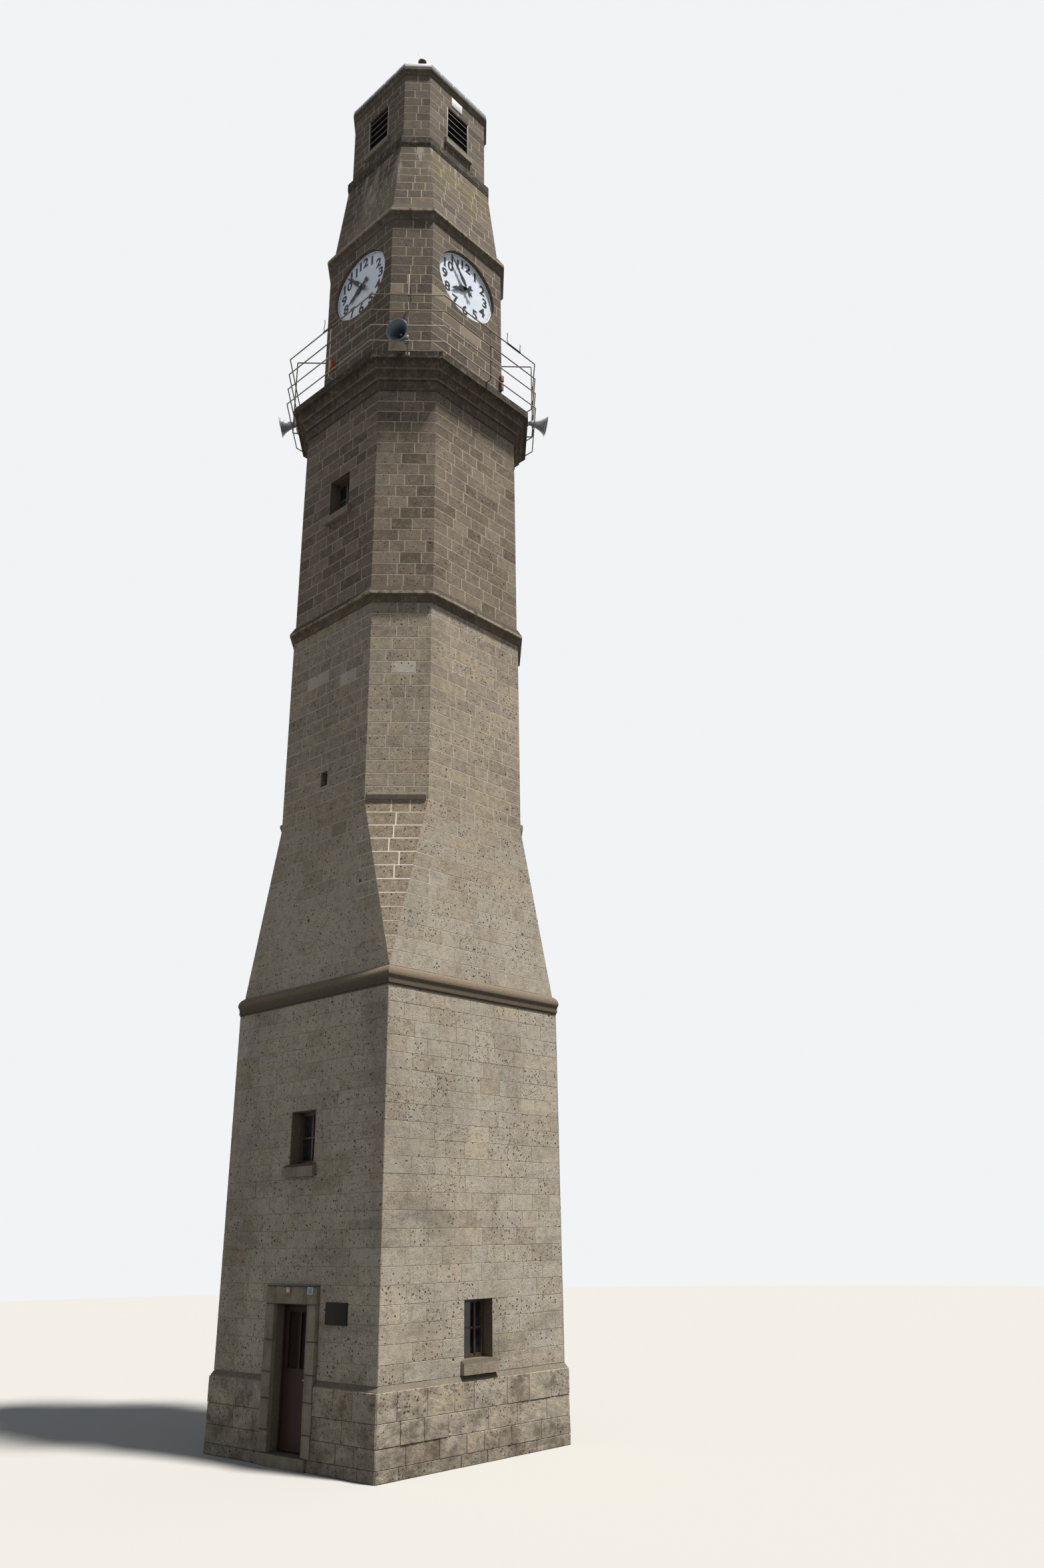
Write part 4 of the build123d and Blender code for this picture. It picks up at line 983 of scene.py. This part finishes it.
# Colour-coated steel sheet: pale blue-grey, glossy, dulled by dust
roof_sheet = painted("pale_coated_steel_roof_sheet", "#7f8b98", "#8b97a4", "#71767b", 0.72, 0.45, 0.0, 2.0)
roof_white = painted("white_coated_steel_edge", "#dfe1df", "#ecedea", "#c4c2b8", 0.70, 0.45, 0.0, 3.0)
finial_white = painted("white_glass_fibre_cap", "#dcdcd8", "#e8e8e4", "#bdb9ae", 0.70, 0.4)
finial_rust = painted("rusted_steel_mast", "#3c2d23", "#5a4030", "#7a5236", 0.60, 0.8)
# Galvanised water pipe: pale dull zinc with brown rust, mostly on the upper runs
rail_zinc = painted("galvanised_rail_pipe", "#77746c", "#9c9a93", "#6f5847", 0.56, 0.6, 0.15, 2.2,
                    places=(0.35, 0.6))
rail_brown = painted("rust_stained_rail_pipe", "#62513f", "#8d7b66", "#4a392b", 0.60, 0.65, 0.1, 2.6,
                     places=(0.35, 0.7))
rail_post = painted("dull_galvanised_post", "#69645b", "#8a857b", "#5a4838", 0.58, 0.65, 0.0, 2.4,
                    specular=0.3, places=(0.35, 0.7))
rubber = painted("black_rubber_sleeve", "#1b1b1d", "#242426", "#3a3938", 0.72, 0.7)
# Spun aluminium with grey lacquer: smooth; darker and bluer down the throat, which is painted shade inside
# the bell
horn_metal = painted("grey_lacquered_spun_aluminium", "#6d757f", "#828a93", "#565b62", 0.70, 0.42, 0.35, 5.0)
horn_throat = painted("horn_throat_lacquer_with_painted_shade", "#46505b", "#57616c", "#3a4149", 0.70, 0.5, 0.3, 5.0)
horn_pale = painted("pale_lacquered_spun_aluminium", "#a3a8ac", "#b7bbbe", "#8b8f92", 0.72, 0.42, 0.35, 5.0)
# Powder coat gone chalky, red-brown in the shade and orange in the sun
box_paint = painted("orange_powder_coated_steel", "#a8502b", "#bd6238", "#7c4a30", 0.66, 0.5)
box_dull = painted("faded_powder_coated_steel", "#80523a", "#93634a", "#5f412f", 0.66, 0.6)
box_brown = painted("brown_powder_coated_steel", "#6d5440", "#7f654e", "#4c3a2c", 0.64, 0.6)
flashing = painted("lead_grey_flashing_sheet", "#34383d", "#43484d", "#5e6264", 0.68, 0.55, 0.4)


def pane_glass(name, dark, dusty, roughness, specular=0.6):
    """Window glass from outside a dark room: its black is the painted shade of the unlit room behind, under a
    film of dust that dulls its shine.
    """
    made, tree, shader = new_material(name, roughness=roughness, specular=specular)
    dust = noise(tree, add(tree, "TexCoord").outputs["Object"], 5.0, 5.0)
    shade = mix(tree, fade(tree, dust, 0.4, 0.7), dark, dusty)
    finish_surface(tree, shader, shade, dust, 0.001, 0.2)
    return made


# the panes' dark colours are painted shade of the unlit rooms behind them
window_pane = pane_glass("dusty_float_glass_over_painted_room_shade", "#1b2027", "#39414a", 0.14)
door_pane = pane_glass("brown_door_glass_over_painted_room_shade", "#1c1411", "#241a16", 0.75, 0.1)

give(door_paint, "door_leaf", "door_frame")
give(door_pane, "door_panes")
give(window_pane, "window_glass")
give(handle_metal, "door_handle")
give(window_paint, "window_frames")
give(louvre_dark, "louvre_frames", "louvre_slats")
give(dial_enamel, "dials")
give(roof_sheet, "roof")


# Dials: minute dots and upright serif numerals, in black enamel on the white

NUMERAL_RING = 0.622
DOT_RING = 0.808
NUMERAL_HEIGHT = 0.240
# The height of a figure as a share of its type size
FIGURE_SHARE = 0.70
SERIF_HALF = 0.040
SERIF_HEIGHT = 0.018
# How many feet of a numeral take a serif, from the left
SERIF_FEET = {"1": 1, "4": 1, "7": 1, "10": 1, "11": 2, "12": 1}


def minute_stud(size):
    """A raised minute mark with a rounded edge, at the centre of the door side's dial."""
    stud = turning("minute_stud", [(size, 0.001), (size, -0.001), (size * 0.75, -0.002)], numeral_paint, 12,
                   closed=(True, True))
    return place_at(stud, shift(0, -DIAL_FRONT, DIAL_Z))


def numeral(text, x, z):
    """One upright numeral, thickened, with serifs at the feet of 1, 4 and 7, which the plain figures lack."""
    bpy.ops.object.text_add(location=(0, 0, 0))
    figure = bpy.context.object
    figure.data.body = text
    figure.data.align_x = "CENTER"
    figure.data.align_y = "CENTER"
    figure.data.size = NUMERAL_HEIGHT / FIGURE_SHARE
    figure.data.space_character = 1.02
    figure.data.offset = 0.011
    figure.data.extrude = 0.0015
    take(figure)
    bpy.ops.object.convert(target="MESH")
    low = min(point.co.y for point in figure.data.vertices)
    soles = sorted(point.co.x for point in figure.data.vertices if point.co.y < low + 0.006)
    feet = [[soles[0]]]
    for sole in soles[1:]:
        if sole - feet[-1][-1] > 0.06:
            feet.append([])
        feet[-1].append(sole)
    parts = [figure]
    for foot in feet[:SERIF_FEET.get(text, 0)]:
        middle = (foot[0] + foot[-1]) / 2
        parts.append(slab("serif", (middle - SERIF_HALF, low, -0.0019),
                          (middle + SERIF_HALF, low + SERIF_HEIGHT, 0.0019), numeral_paint, 0.0008))
    whole = join("numeral", parts)
    whole.matrix_world = shift(x, -DIAL_FRONT, z) @ turn(90, "X")
    return settle(whole)


hour_stud = minute_stud(0.0155)
plain_stud = minute_stud(0.0085)
marks = []
for minute in range(60):
    angle = math.radians(6 * minute)
    stud = copy_of(plain_stud if minute % 5 else hour_stud)
    marks.append(place_at(stud, shift(DOT_RING * math.sin(angle), 0, DOT_RING * math.cos(angle))))
for stud in (hour_stud, plain_stud):
    bpy.data.objects.remove(stud)
for hour in range(1, 13):
    angle = math.radians(30 * hour)
    marks.append(numeral(str(hour), NUMERAL_RING * math.sin(angle), DIAL_Z + NUMERAL_RING * math.cos(angle)))
dial_marks = all_sides(join("dial_marks", marks))
dress(join("dial_marks", dial_marks), numeral_paint)

BOSS_LENGTH = 0.018
TAIL_END = -0.190
HAND_TIMES = ((7, 53), (7, 54), (7, 53), (7, 53))


def hand(name, reach, width, layer, degrees):
    """A hand of cut sheet: crescent and tail, boss on the arbor, leaf, small cross and pointed tip.

    Each row is a height and the half width there. The boss starts a layer in front of the dial."""
    rows = [
        (TAIL_END, 0.025), (-0.060, 0.033), (0.030, 0.039), (reach * 0.17, width * 0.82),
        (reach * 0.28, width), (reach * 0.42, width * 0.66), (reach * 0.53, 0.032), (reach * 0.58, 0.032),
        (reach * 0.61, width * 0.90), (reach * 0.65, 0.034), (reach * 0.74, width * 0.58), (reach, 0.003),
    ]
    blank_half = 0.05
    blade = upright_plane("blade", 2 * blank_half, TAIL_END, reach)
    bpy.context.tool_settings.mesh_select_mode = (True, False, False)
    mode("EDIT")
    for z, _ in rows[1:-1]:
        pick("SELECT")
        bpy.ops.mesh.bisect(plane_co=(0, 0, z), plane_no=(0, 0, 1))
    for z, half in rows:
        pick("DESELECT")
        for point in bmesh.from_edit_mesh(blade.data).verts:
            point.select_set(abs(point.co.z - z) < 0.0005)
        bpy.ops.transform.resize(value=(half / blank_half, 1, 1), center_override=(0, 0, z))
    mode("OBJECT")
    apply_modifier(blade, "SOLIDIFY", thickness=0.006, offset=0)
    blade.data.materials.append(hand_paint)
    disc = turning("disc", [(0.064, -0.0036), (0.064, 0.0036)], hand_paint, 28, closed=(True, True))
    place_at(disc, shift(0, 0, TAIL_END))
    bore_out(disc, 0.032, TAIL_END - 0.046, 24)
    sheet = join(name, [blade, disc])
    soften(sheet, 0.0012, 1, 40)
    near = DIAL_FRONT + layer
    far = near + BOSS_LENGTH
    place_at(sheet, shift(0, -near - BOSS_LENGTH / 2, 0))
    hub = turning("hub", [
        (0.0165, -far), (0.038, -far), (0.042, -far + 0.004), (0.042, -near), (0.0165, -near),
        (0.0165, -far)], hand_paint, 28)
    return place_at(join(name, [sheet, hub]), shift(0, 0, DIAL_Z) @ turn(degrees, "Y"))


for quarter, (hour, minute) in enumerate(HAND_TIMES):
    number = str(quarter + 1)
    for kind, reach, width, layer, degrees in (
        ("minute_hand_", 0.715, 0.062, 0.044, 6 * minute),
        ("hour_hand_", 0.505, 0.078, 0.018, 30 * (hour + minute / 60)),
    ):
        piece = hand(kind + "blade_" + number, reach, width, layer, degrees)
        place_at(piece, quarter_turn(quarter))
        dress(piece, body=kind + "body_" + number, stands_for=(kind + number,))

# A thin rolled rim round each dial
rims = all_sides(rolled_ring(0.838, 0.009, 72, (0, -DIAL_FRONT, DIAL_Z)))
dress(join("dial_rims", rims), dial_enamel)

# Railing of round pipe, welded at its crossings, on posts and corner brackets

RAIL_HALF = 2.420
RAIL_EDGE = 1.370
RAIL_HEIGHTS = (19.850, 20.250, 20.645, 21.050)
RAIL_RADIUS = 0.0135
POST_RADIUS = 0.0145
# Reach and height of the feet, and the reach of the brackets' poles
POST_FOOT = (2.130, 19.776)
BRACKET_FOOT = (2.514, 19.670)
POLE_REACH = 2.652

octagon_plan = []
for quarter in range(4):
    for side in (-1, 1):
        octagon_plan.append(quarter_turn(quarter) @ Vector((side * RAIL_EDGE, -RAIL_HALF, 0)))
for i, z in enumerate(RAIL_HEIGHTS):
    line = [(point.x, point.y, z) for point in octagon_plan]
    run = tube("rail_" + str(i + 1), line, RAIL_RADIUS, rail_brown if i > 1 else rail_zinc, cyclic=True)
    dress(run, stands_for=("rails_faces", "rails_corners") if i == 0 else ())

post_parts = []
for (reach, z), corner in ((POST_FOOT, False), (BRACKET_FOOT, True)):
    # a square plate let into the stone under each foot
    seat = slab(
        "seat", (-0.045, -reach - 0.004, z - 0.045), (0.045, -reach + 0.020, z + 0.045), rail_zinc, 0.003)
    post_parts += all_sides(seat, corner)
post_parts += all_sides(tube(
    "post", [(0, -2.130, 19.776), (0, -2.370, 19.776), (0, -2.390, 19.800), (0, -2.392, 21.050)],
    POST_RADIUS, rail_post))
post_parts += all_sides(tube("bracket", [
    (0, -1.954, 21.630), (0, -2.632, 21.630), (0, -POLE_REACH, 21.610), (0, -POLE_REACH, 19.690),
    (0, -2.636, 19.672), (0, -2.514, 19.670)], POST_RADIUS, rail_post), True)
dress(join("railing_posts", post_parts), stands_for=("rail_posts",))

weld_parts = []
for reach, corner in ((2.406, False), (2.666, True)):
    for z in RAIL_HEIGHTS:
        # a run of weld round the crossing
        bpy.ops.mesh.primitive_ico_sphere_add(subdivisions=2, radius=0.021, location=(0, -reach, z))
        bpy.context.object.scale = (1.25, 0.85, 0.95)
        weld_parts += all_sides(settle_smooth(), corner)
dress(join("railing_welds", weld_parts), rail_brown)

# Black sleeves and hooked wires on the top rail
sleeves = [
    tube("sleeve", [(2.420, 0.49, 21.056), (2.420, 0.90, 21.056)], 0.021, rubber),
    tube("sleeve", [(-0.21, -2.420, 21.056), (0.10, -2.420, 21.056)], 0.019, rubber),
]
for x, y, top in ((2.42, 0.224, 21.34), (2.42, 0.495, 21.34), (2.42, 0.898, 21.28), (-0.19, -2.42, 21.39)):
    sleeves.append(tube("hook", [
        (x, y, 21.04), (x, y + 0.006, 21.10), (x + 0.004, y - 0.012, 21.16), (x, y + 0.014, (21.2 + top) / 2),
        (x, y, top)], 0.0085, rubber, smooth=True))
dress(join("rail_sleeves", sleeves))


# Horns: a spun bell with a rolled rim, a re-entrant plug and a driver in a clamp

BELL = [
    (0.230, 0.000), (0.212, 0.012), (0.190, 0.032), (0.158, 0.070), (0.130, 0.115), (0.104, 0.170),
    (0.082, 0.232), (0.064, 0.300), (0.052, 0.360), (0.045, 0.400),
]
# The near horn is turned aside, and all droop
NEAR_HORN_TURN = 22
HORN_DROOP = 13


def horn_piece(inner, outer):
    """One horn about its own axis, mouth at the origin and facing -Y."""
    # the inside of the bell takes the darker inner material, painted shade for the bell's throat
    inside = turning("bell_inside", [(r - 0.004, y + 0.002) for r, y in BELL], inner)
    take(inside)
    mode("EDIT")
    pick("SELECT")
    bpy.ops.mesh.flip_normals()
    mode("OBJECT")
    outside = turning("bell_outside", BELL, outer)
    rim = rolled_ring(BELL[0][0], 0.0055, 36)
    rim.data.materials.append(outer)
    plug = turning(
        "plug", [(0.004, 0.175), (0.017, 0.178), (0.027, 0.190), (0.030, 0.208), (0.032, 0.390)], outer, 20)
    plug_end = turning("plug_end", [(0.004, 0.175), (0.0005, 0.1745)], outer, 20, closed=(False, True))
    driver = turning("driver", [
        (0.046, 0.392), (0.050, 0.396), (0.050, 0.404), (0.062, 0.410), (0.066, 0.416), (0.066, 0.470),
        (0.061, 0.482), (0.030, 0.488), (0.004, 0.489)], outer, 24, closed=(False, True))
    return join("horn", [inside, outside, rim, plug, plug_end, driver])


for quarter in range(4):
    near = quarter == 0
    bell = horn_piece(horn_throat, horn_metal if near else horn_pale)
    place = shift(-0.085, -POLE_REACH, 19.900) @ turn(-NEAR_HORN_TURN if near else 0, "Z")
    place = place @ shift(0, -0.293, 0) @ turn(HORN_DROOP, "X")
    place_at(bell, place)
    band = turning("band", [(0.0500, 0.0), (0.0535, 0.003), (0.0535, 0.027), (0.0500, 0.030)], rail_zinc, 24)
    place_at(band, place @ shift(0, 0.345, 0))
    arm = slab(
        "arm", (-0.085, -POLE_REACH - 0.024, 19.942), (0.016, -POLE_REACH + 0.024, 19.950), rail_zinc, 0.002)
    hoop = turning(
        "hoop", [(0.0165, -0.035), (0.0195, -0.032), (0.0195, 0.032), (0.0165, 0.035)], rail_zinc, 18)
    place_at(hoop, shift(0, -POLE_REACH, 19.978) @ turn(90, "X"))
    whole = join("horn_" + str(quarter + 1), [bell, band, arm, hoop])
    place_at(whole, quarter_turn(quarter, True))
    dress(whole, stands_for=("horns",) if near else ())


# Finial: a white hemisphere on a rusted mast, with two thin bent rods

CAP_FOOT = 31.500
mast = tube("mast", [(0, 0, 30.245), (0, 0, 31.505)], 0.024, finial_rust, sides=5)
bpy.ops.mesh.primitive_uv_sphere_add(segments=36, ring_count=20, radius=0.110, location=(0, 0, CAP_FOOT))
cap = settle()
mode("EDIT")
pick("SELECT")
bpy.ops.mesh.bisect(plane_co=(0, 0, CAP_FOOT), plane_no=(0, 0, 1), clear_inner=True, use_fill=True)
mode("OBJECT")
soften(cap, 0.004, 2, 60)
cap.data.materials.append(finial_white)
under = turning(
    "under", [(0.030, 0.0), (0.104, 0.001), (0.104, 0.012), (0.060, 0.022)], finial_rust, 36,
    closed=(True, True))
place_at(under, shift(0, 0, CAP_FOOT) @ turn(-90, "X"))
long_rod = tube("rod", [
    (0, 0, 31.605), (-0.020, -0.018, 31.690), (-0.062, -0.056, 31.770), (-0.078, -0.071, 31.900)], 0.008,
    finial_white, smooth=True)
short_rod = tube(
    "rod", [(0.030, 0.027, 31.600), (0.040, 0.036, 31.650), (0.047, 0.042, 31.730)], 0.007, finial_white)
collar = slab("collar", (-0.018, -0.018, 31.598), (0.018, 0.018, 31.625), finial_rust, 0.004)
finial_parts = join("finial_parts", [cap, mast, under, long_rod, short_rod, collar])
dress(finial_parts, stands_for=("finial",))


# Roof: seams up the slopes and a white folded edge on the corner sides

seams = []
for x in (-0.62, -0.21, 0.21, 0.62):
    # straight up the slope towards the apex
    seams += all_sides(tube("seam", [
        (x, -ROOF_HALF, ROOF_FOOT + 0.004), (x, -ROOF_HALF, ROOF_FOOT + ROOF_EDGE),
        (x * 0.08, -ROOF_HALF * 0.08, ROOF_APEX - 0.048)], 0.008, roof_sheet, sides=2))
dress(join("roof_seams", seams))
roof_far = corner_apothem(ROOF_HALF, 0.930)
edge = slab(
    "edge", (-0.316, -roof_far - 0.010, ROOF_FOOT + 0.012),
    (0.316, -roof_far + 0.012, ROOF_FOOT + ROOF_EDGE + 0.004), roof_white, 0.008, 3)
dress(join("roof_white_edges", all_sides(edge, True)))


# Louvres: pale metal uprights at the sides of each opening and a turned lip on each blade

louvre_parts = []
for x in (-0.340, 0.340):
    louvre_parts += all_sides(
        slab("upright", (x - 0.013, -1.340, 27.300), (x + 0.013, -1.312, 28.382), louvre_metal, 0.002))
for z in (27.455, 27.659, 27.863, 28.067, 28.271):
    louvre_parts += all_sides(
        slab("lip", (-0.326, -1.316, z - 0.007), (0.326, -1.308, z + 0.007), louvre_metal, 0.0025))
dress(join("louvre_trim", louvre_parts))


# Door: surround of worn blocks, a lintel of three stones under a flashing, leaf mouldings

REVEAL_BACK = -1.985
JAMB_HEIGHTS = (0.31, 0.42, 0.36, 0.44, 0.505)
surround = []
jamb_rng = random.Random(7)
for side in (-1, 1):
    low = FLOOR_TOP
    for height in JAMB_HEIGHTS:
        deep = jamb_rng.uniform(0.000, 0.006)
        inner, outer = side * 0.4165, side * (0.628 + jamb_rng.uniform(-0.008, 0.010))
        surround.append(slab(
            "jamb", (min(inner, outer), -2.072 - deep, low + 0.003),
            (max(inner, outer), REVEAL_BACK, low + height - 0.003), trim_stone, 0.007))
        low += height
for x0, x1 in ((-0.634, -0.385), (-0.378, 0.372), (0.379, 0.634)):
    surround.append(slab("lintel", (x0, -2.070, 2.199), (x1, REVEAL_BACK, 2.450), trim_stone, 0.006))
for stone in surround:
    take(stone)
    mode("EDIT")
    pick("SELECT")
    bpy.ops.mesh.subdivide(number_cuts=3)
    mode("OBJECT")
surround_stones = join("door_surround_stones", surround)
wrinkle(surround_stones, 0.010, 0.12, 300)
dress(surround_stones, trim_stone)
strip = slab("lintel_flashing", (-0.560, -2.086, 2.452), (0.636, -1.990, 2.462), flashing, 0.002)
dress(strip)

# Weather bar along the foot of the leaf, a rounded rail across it, and glazing beads
LEAF_FACE = -1.852
leaf_trim = [
    slab("weather_bar", (-0.360, -1.866, 0.172), (0.360, LEAF_FACE, 0.215), door_paint, 0.004),
    slab("lock_rail", (-0.366, -1.860, 1.252), (0.366, LEAF_FACE, 1.286), door_paint, 0.003),
    slab("bead", (-0.280, -1.860, 2.072), (0.280, LEAF_FACE, 2.086), door_paint, 0.002),
]
for x, half, front in (
    (-0.2805, 0.007, -1.860), (0.2805, 0.007, -1.860), (-0.025, 0.006, -1.861), (0.025, 0.006, -1.861),
):
    leaf_trim.append(slab("bead", (x - half, front, 1.290), (x + half, LEAF_FACE, 2.078), door_paint, 0.002))
dress(join("door_leaf_trim", leaf_trim), body="door_leaf_body")

# Window bars: an upright and a cross bar in the base's door side, one upright in each of the others.
# Each row gives the pane's middle, half width and heights, the face it stands behind, its side and its bars.
PANE_DEPTH = 0.200
window_bars = []
for middle, half, low, high, face, quarter, shifted_by, crossed in (
    (0.0, 0.313, 4.243, 5.061, BASE_HALF, 0, 0.0, True),
    (0.005, 0.308, 1.386, 2.220, BASE_HALF, 1, 0.110, False),
    (0.036, 0.305, 16.660, 17.487, SHAFT_2_HALF, 0, 0.0, False),
):
    depth = face - PANE_DEPTH
    upright = middle + shifted_by
    bars = [slab("bar", (upright - 0.020, -depth - 0.010, low + 0.050),
                 (upright + 0.020, -depth + 0.016, high - 0.050), window_paint, 0.003)]
    if crossed:
        level = (low + high) / 2
        bars.append(slab("bar", (middle - half + 0.050, -depth - 0.008, level - 0.014),
                         (middle + half - 0.050, -depth + 0.014, level + 0.014), window_paint, 0.003))
    window_bars += [place_at(bar, quarter_turn(quarter)) for bar in bars]
dress(join("window_bars", window_bars))


# Bare plates and plaque


def framed_plate(name, low, high, rim_material, field_material, rim):
    """A plate facing -Y with a raised rim, in two colours."""
    back = slab(name, low, high, rim_material, 0.003)
    inner = slab(
        name, (low[0] + rim, low[1] - 0.0015, low[2] + rim), (high[0] - rim, low[1] + 0.004, high[2] - rim),
        field_material, 0.001)
    return join(name, [back, inner])


plates = [
    framed_plate(name, (x, -2.082, 2.338), (x + 0.120, -2.058, 2.436), rim_colour, field_colour, rim)
    for name, x, rim_colour, field_colour, rim in (
        ("left_plate", -0.120, plate_brown, plate_cream, 0.024),
        ("right_plate", 0.420, plate_white, plate_blue, 0.009),
    )
]
belfry_plate = slab("belfry_plate", (-0.213, -1.350, 28.552), (0.133, -1.330, 28.824), plate_white, 0.003)
plates.append(place_at(belfry_plate, quarter_turn(1)))
dress(join("bare_plates", plates), stands_for=("small_plates",))

plaque_parts = [framed_plate("plaque", (0.801, -2.027, 1.929), (1.299, -1.990, 2.235), bronze, bronze, 0.012)]
for x in (0.822, 1.278):
    for z in (1.950, 2.214):
        # a domed fixing nut in each corner
        bpy.ops.mesh.primitive_uv_sphere_add(segments=16, ring_count=8, radius=0.008, location=(x, -2.029, z))
        bpy.context.object.scale = (1, 0.55, 1)
        plaque_parts.append(settle_smooth())
dress(join("bare_plaque", plaque_parts), bronze, stands_for=("plaque",))


# Service boxes, each with an overhanging lid on its outer face and a gland under it

boxes = []
for low, high, colour in (
    ((-0.800, -1.793, 20.845), (-0.730, -1.690, 21.060), box_paint),
    ((1.690, 0.985, 20.745), (1.773, 1.060, 20.900), box_dull),
    ((1.690, 1.000, 20.510), (1.763, 1.055, 20.700), box_brown),
):
    body = slab("box", low, high, colour, 0.006, 3)
    lid_low = [value - 0.003 for value in low]
    lid_high = [value + 0.003 for value in high]
    if low[1] < -CLOCK_HALF:
        lid_low[1], lid_high[1] = low[1] - 0.006, low[1] + 0.014
    else:
        lid_low[0], lid_high[0] = high[0] - 0.014, high[0] + 0.006
    lid = slab("lid", lid_low, lid_high, colour, 0.003)
    gland = turning(
        "gland", [(0.012, 0.0), (0.014, 0.003), (0.014, 0.015), (0.009, 0.022)], rubber, 16,
        closed=(False, True))
    centre = (Vector(low) + Vector(high)) / 2
    place_at(gland, shift(centre.x, centre.y, low[2] + 0.004) @ turn(-90, "X"))
    boxes += [body, lid, gland]
dress(join("service_box_parts", boxes), stands_for=("service_boxes",))


# Light, floor and camera


def direct_view(tree):
    """1 for the rays that an eye follows, 0 for those that only carry light."""
    path = add(tree, "LightPath")
    seen = calc(tree, "MAXIMUM", path.outputs["Is Camera Ray"], path.outputs["Is Glossy Ray"])
    return calc(tree, "MAXIMUM", seen, path.outputs["Is Transmission Ray"])


def build_stage():
    bpy.ops.mesh.primitive_circle_add(vertices=96, radius=60, fill_type="NGON", location=(0, 0, -0.002))
    floor = settle()
    floor.name = "studio_floor"
    made, tree, shader = new_material("pale_studio_floor", roughness=0.9, specular=0.0)
    shade = mix(tree, direct_view(tree), "#5c5a56", "#a3a29f")
    tree.links.new(live_output(shade), shader.inputs["Base Color"])
    floor.data.materials.append(made)

    world = bpy.data.worlds.new("studio_light")
    bpy.context.scene.world = world
    world.use_nodes = True
    sky = world.node_tree
    seen = direct_view(sky)
    lamp = sky.nodes["Background"]
    sky.links.new(live_output(mix(sky, seen, "#e2eaf5", "#f1f3f5")), lamp.inputs["Color"])
    sky.links.new(live_output(fade(sky, seen, top=1.0, bottom=0.36)), lamp.inputs["Strength"])

    bpy.ops.object.light_add(type="SUN", location=(10, 2, 31))
    key = bpy.context.object
    key.name = "soft_key"
    key.data.energy = 7.2
    key.data.angle = math.radians(4)
    key.data.color = (1.0, 0.965, 0.91)
    towards = Vector((1.0, 0.2, 3.1)).normalized()
    key.rotation_euler = towards.to_track_quat("Z", "Y").to_euler()


def build_camera():
    """The camera fitted to the tower's corners in the photograph."""
    yaw, pitch, roll = math.radians(-42.25598737), math.radians(21.55120038), math.radians(-0.91652167)
    forward = Vector((math.sin(yaw) * math.cos(pitch), math.cos(yaw) * math.cos(pitch), math.sin(pitch)))
    level = Vector((math.cos(yaw), -math.sin(yaw), 0))
    rise = level.cross(forward)
    right = math.cos(roll) * level + math.sin(roll) * rise
    up = -math.sin(roll) * level + math.cos(roll) * rise
    bpy.ops.object.camera_add(location=(15.6592, -13.8355, 3.1079))
    camera = bpy.context.object
    camera.rotation_euler = Matrix((right, up, -forward)).transposed().to_euler()
    camera.data.sensor_width = 36
    camera.data.lens = 1720.407 / 2356 * 36
    camera.data.clip_end = 400
    bpy.context.scene.camera = camera


build_stage()
build_camera()
rest_selection()
bpy.context.scene.view_settings.view_transform = "Standard"
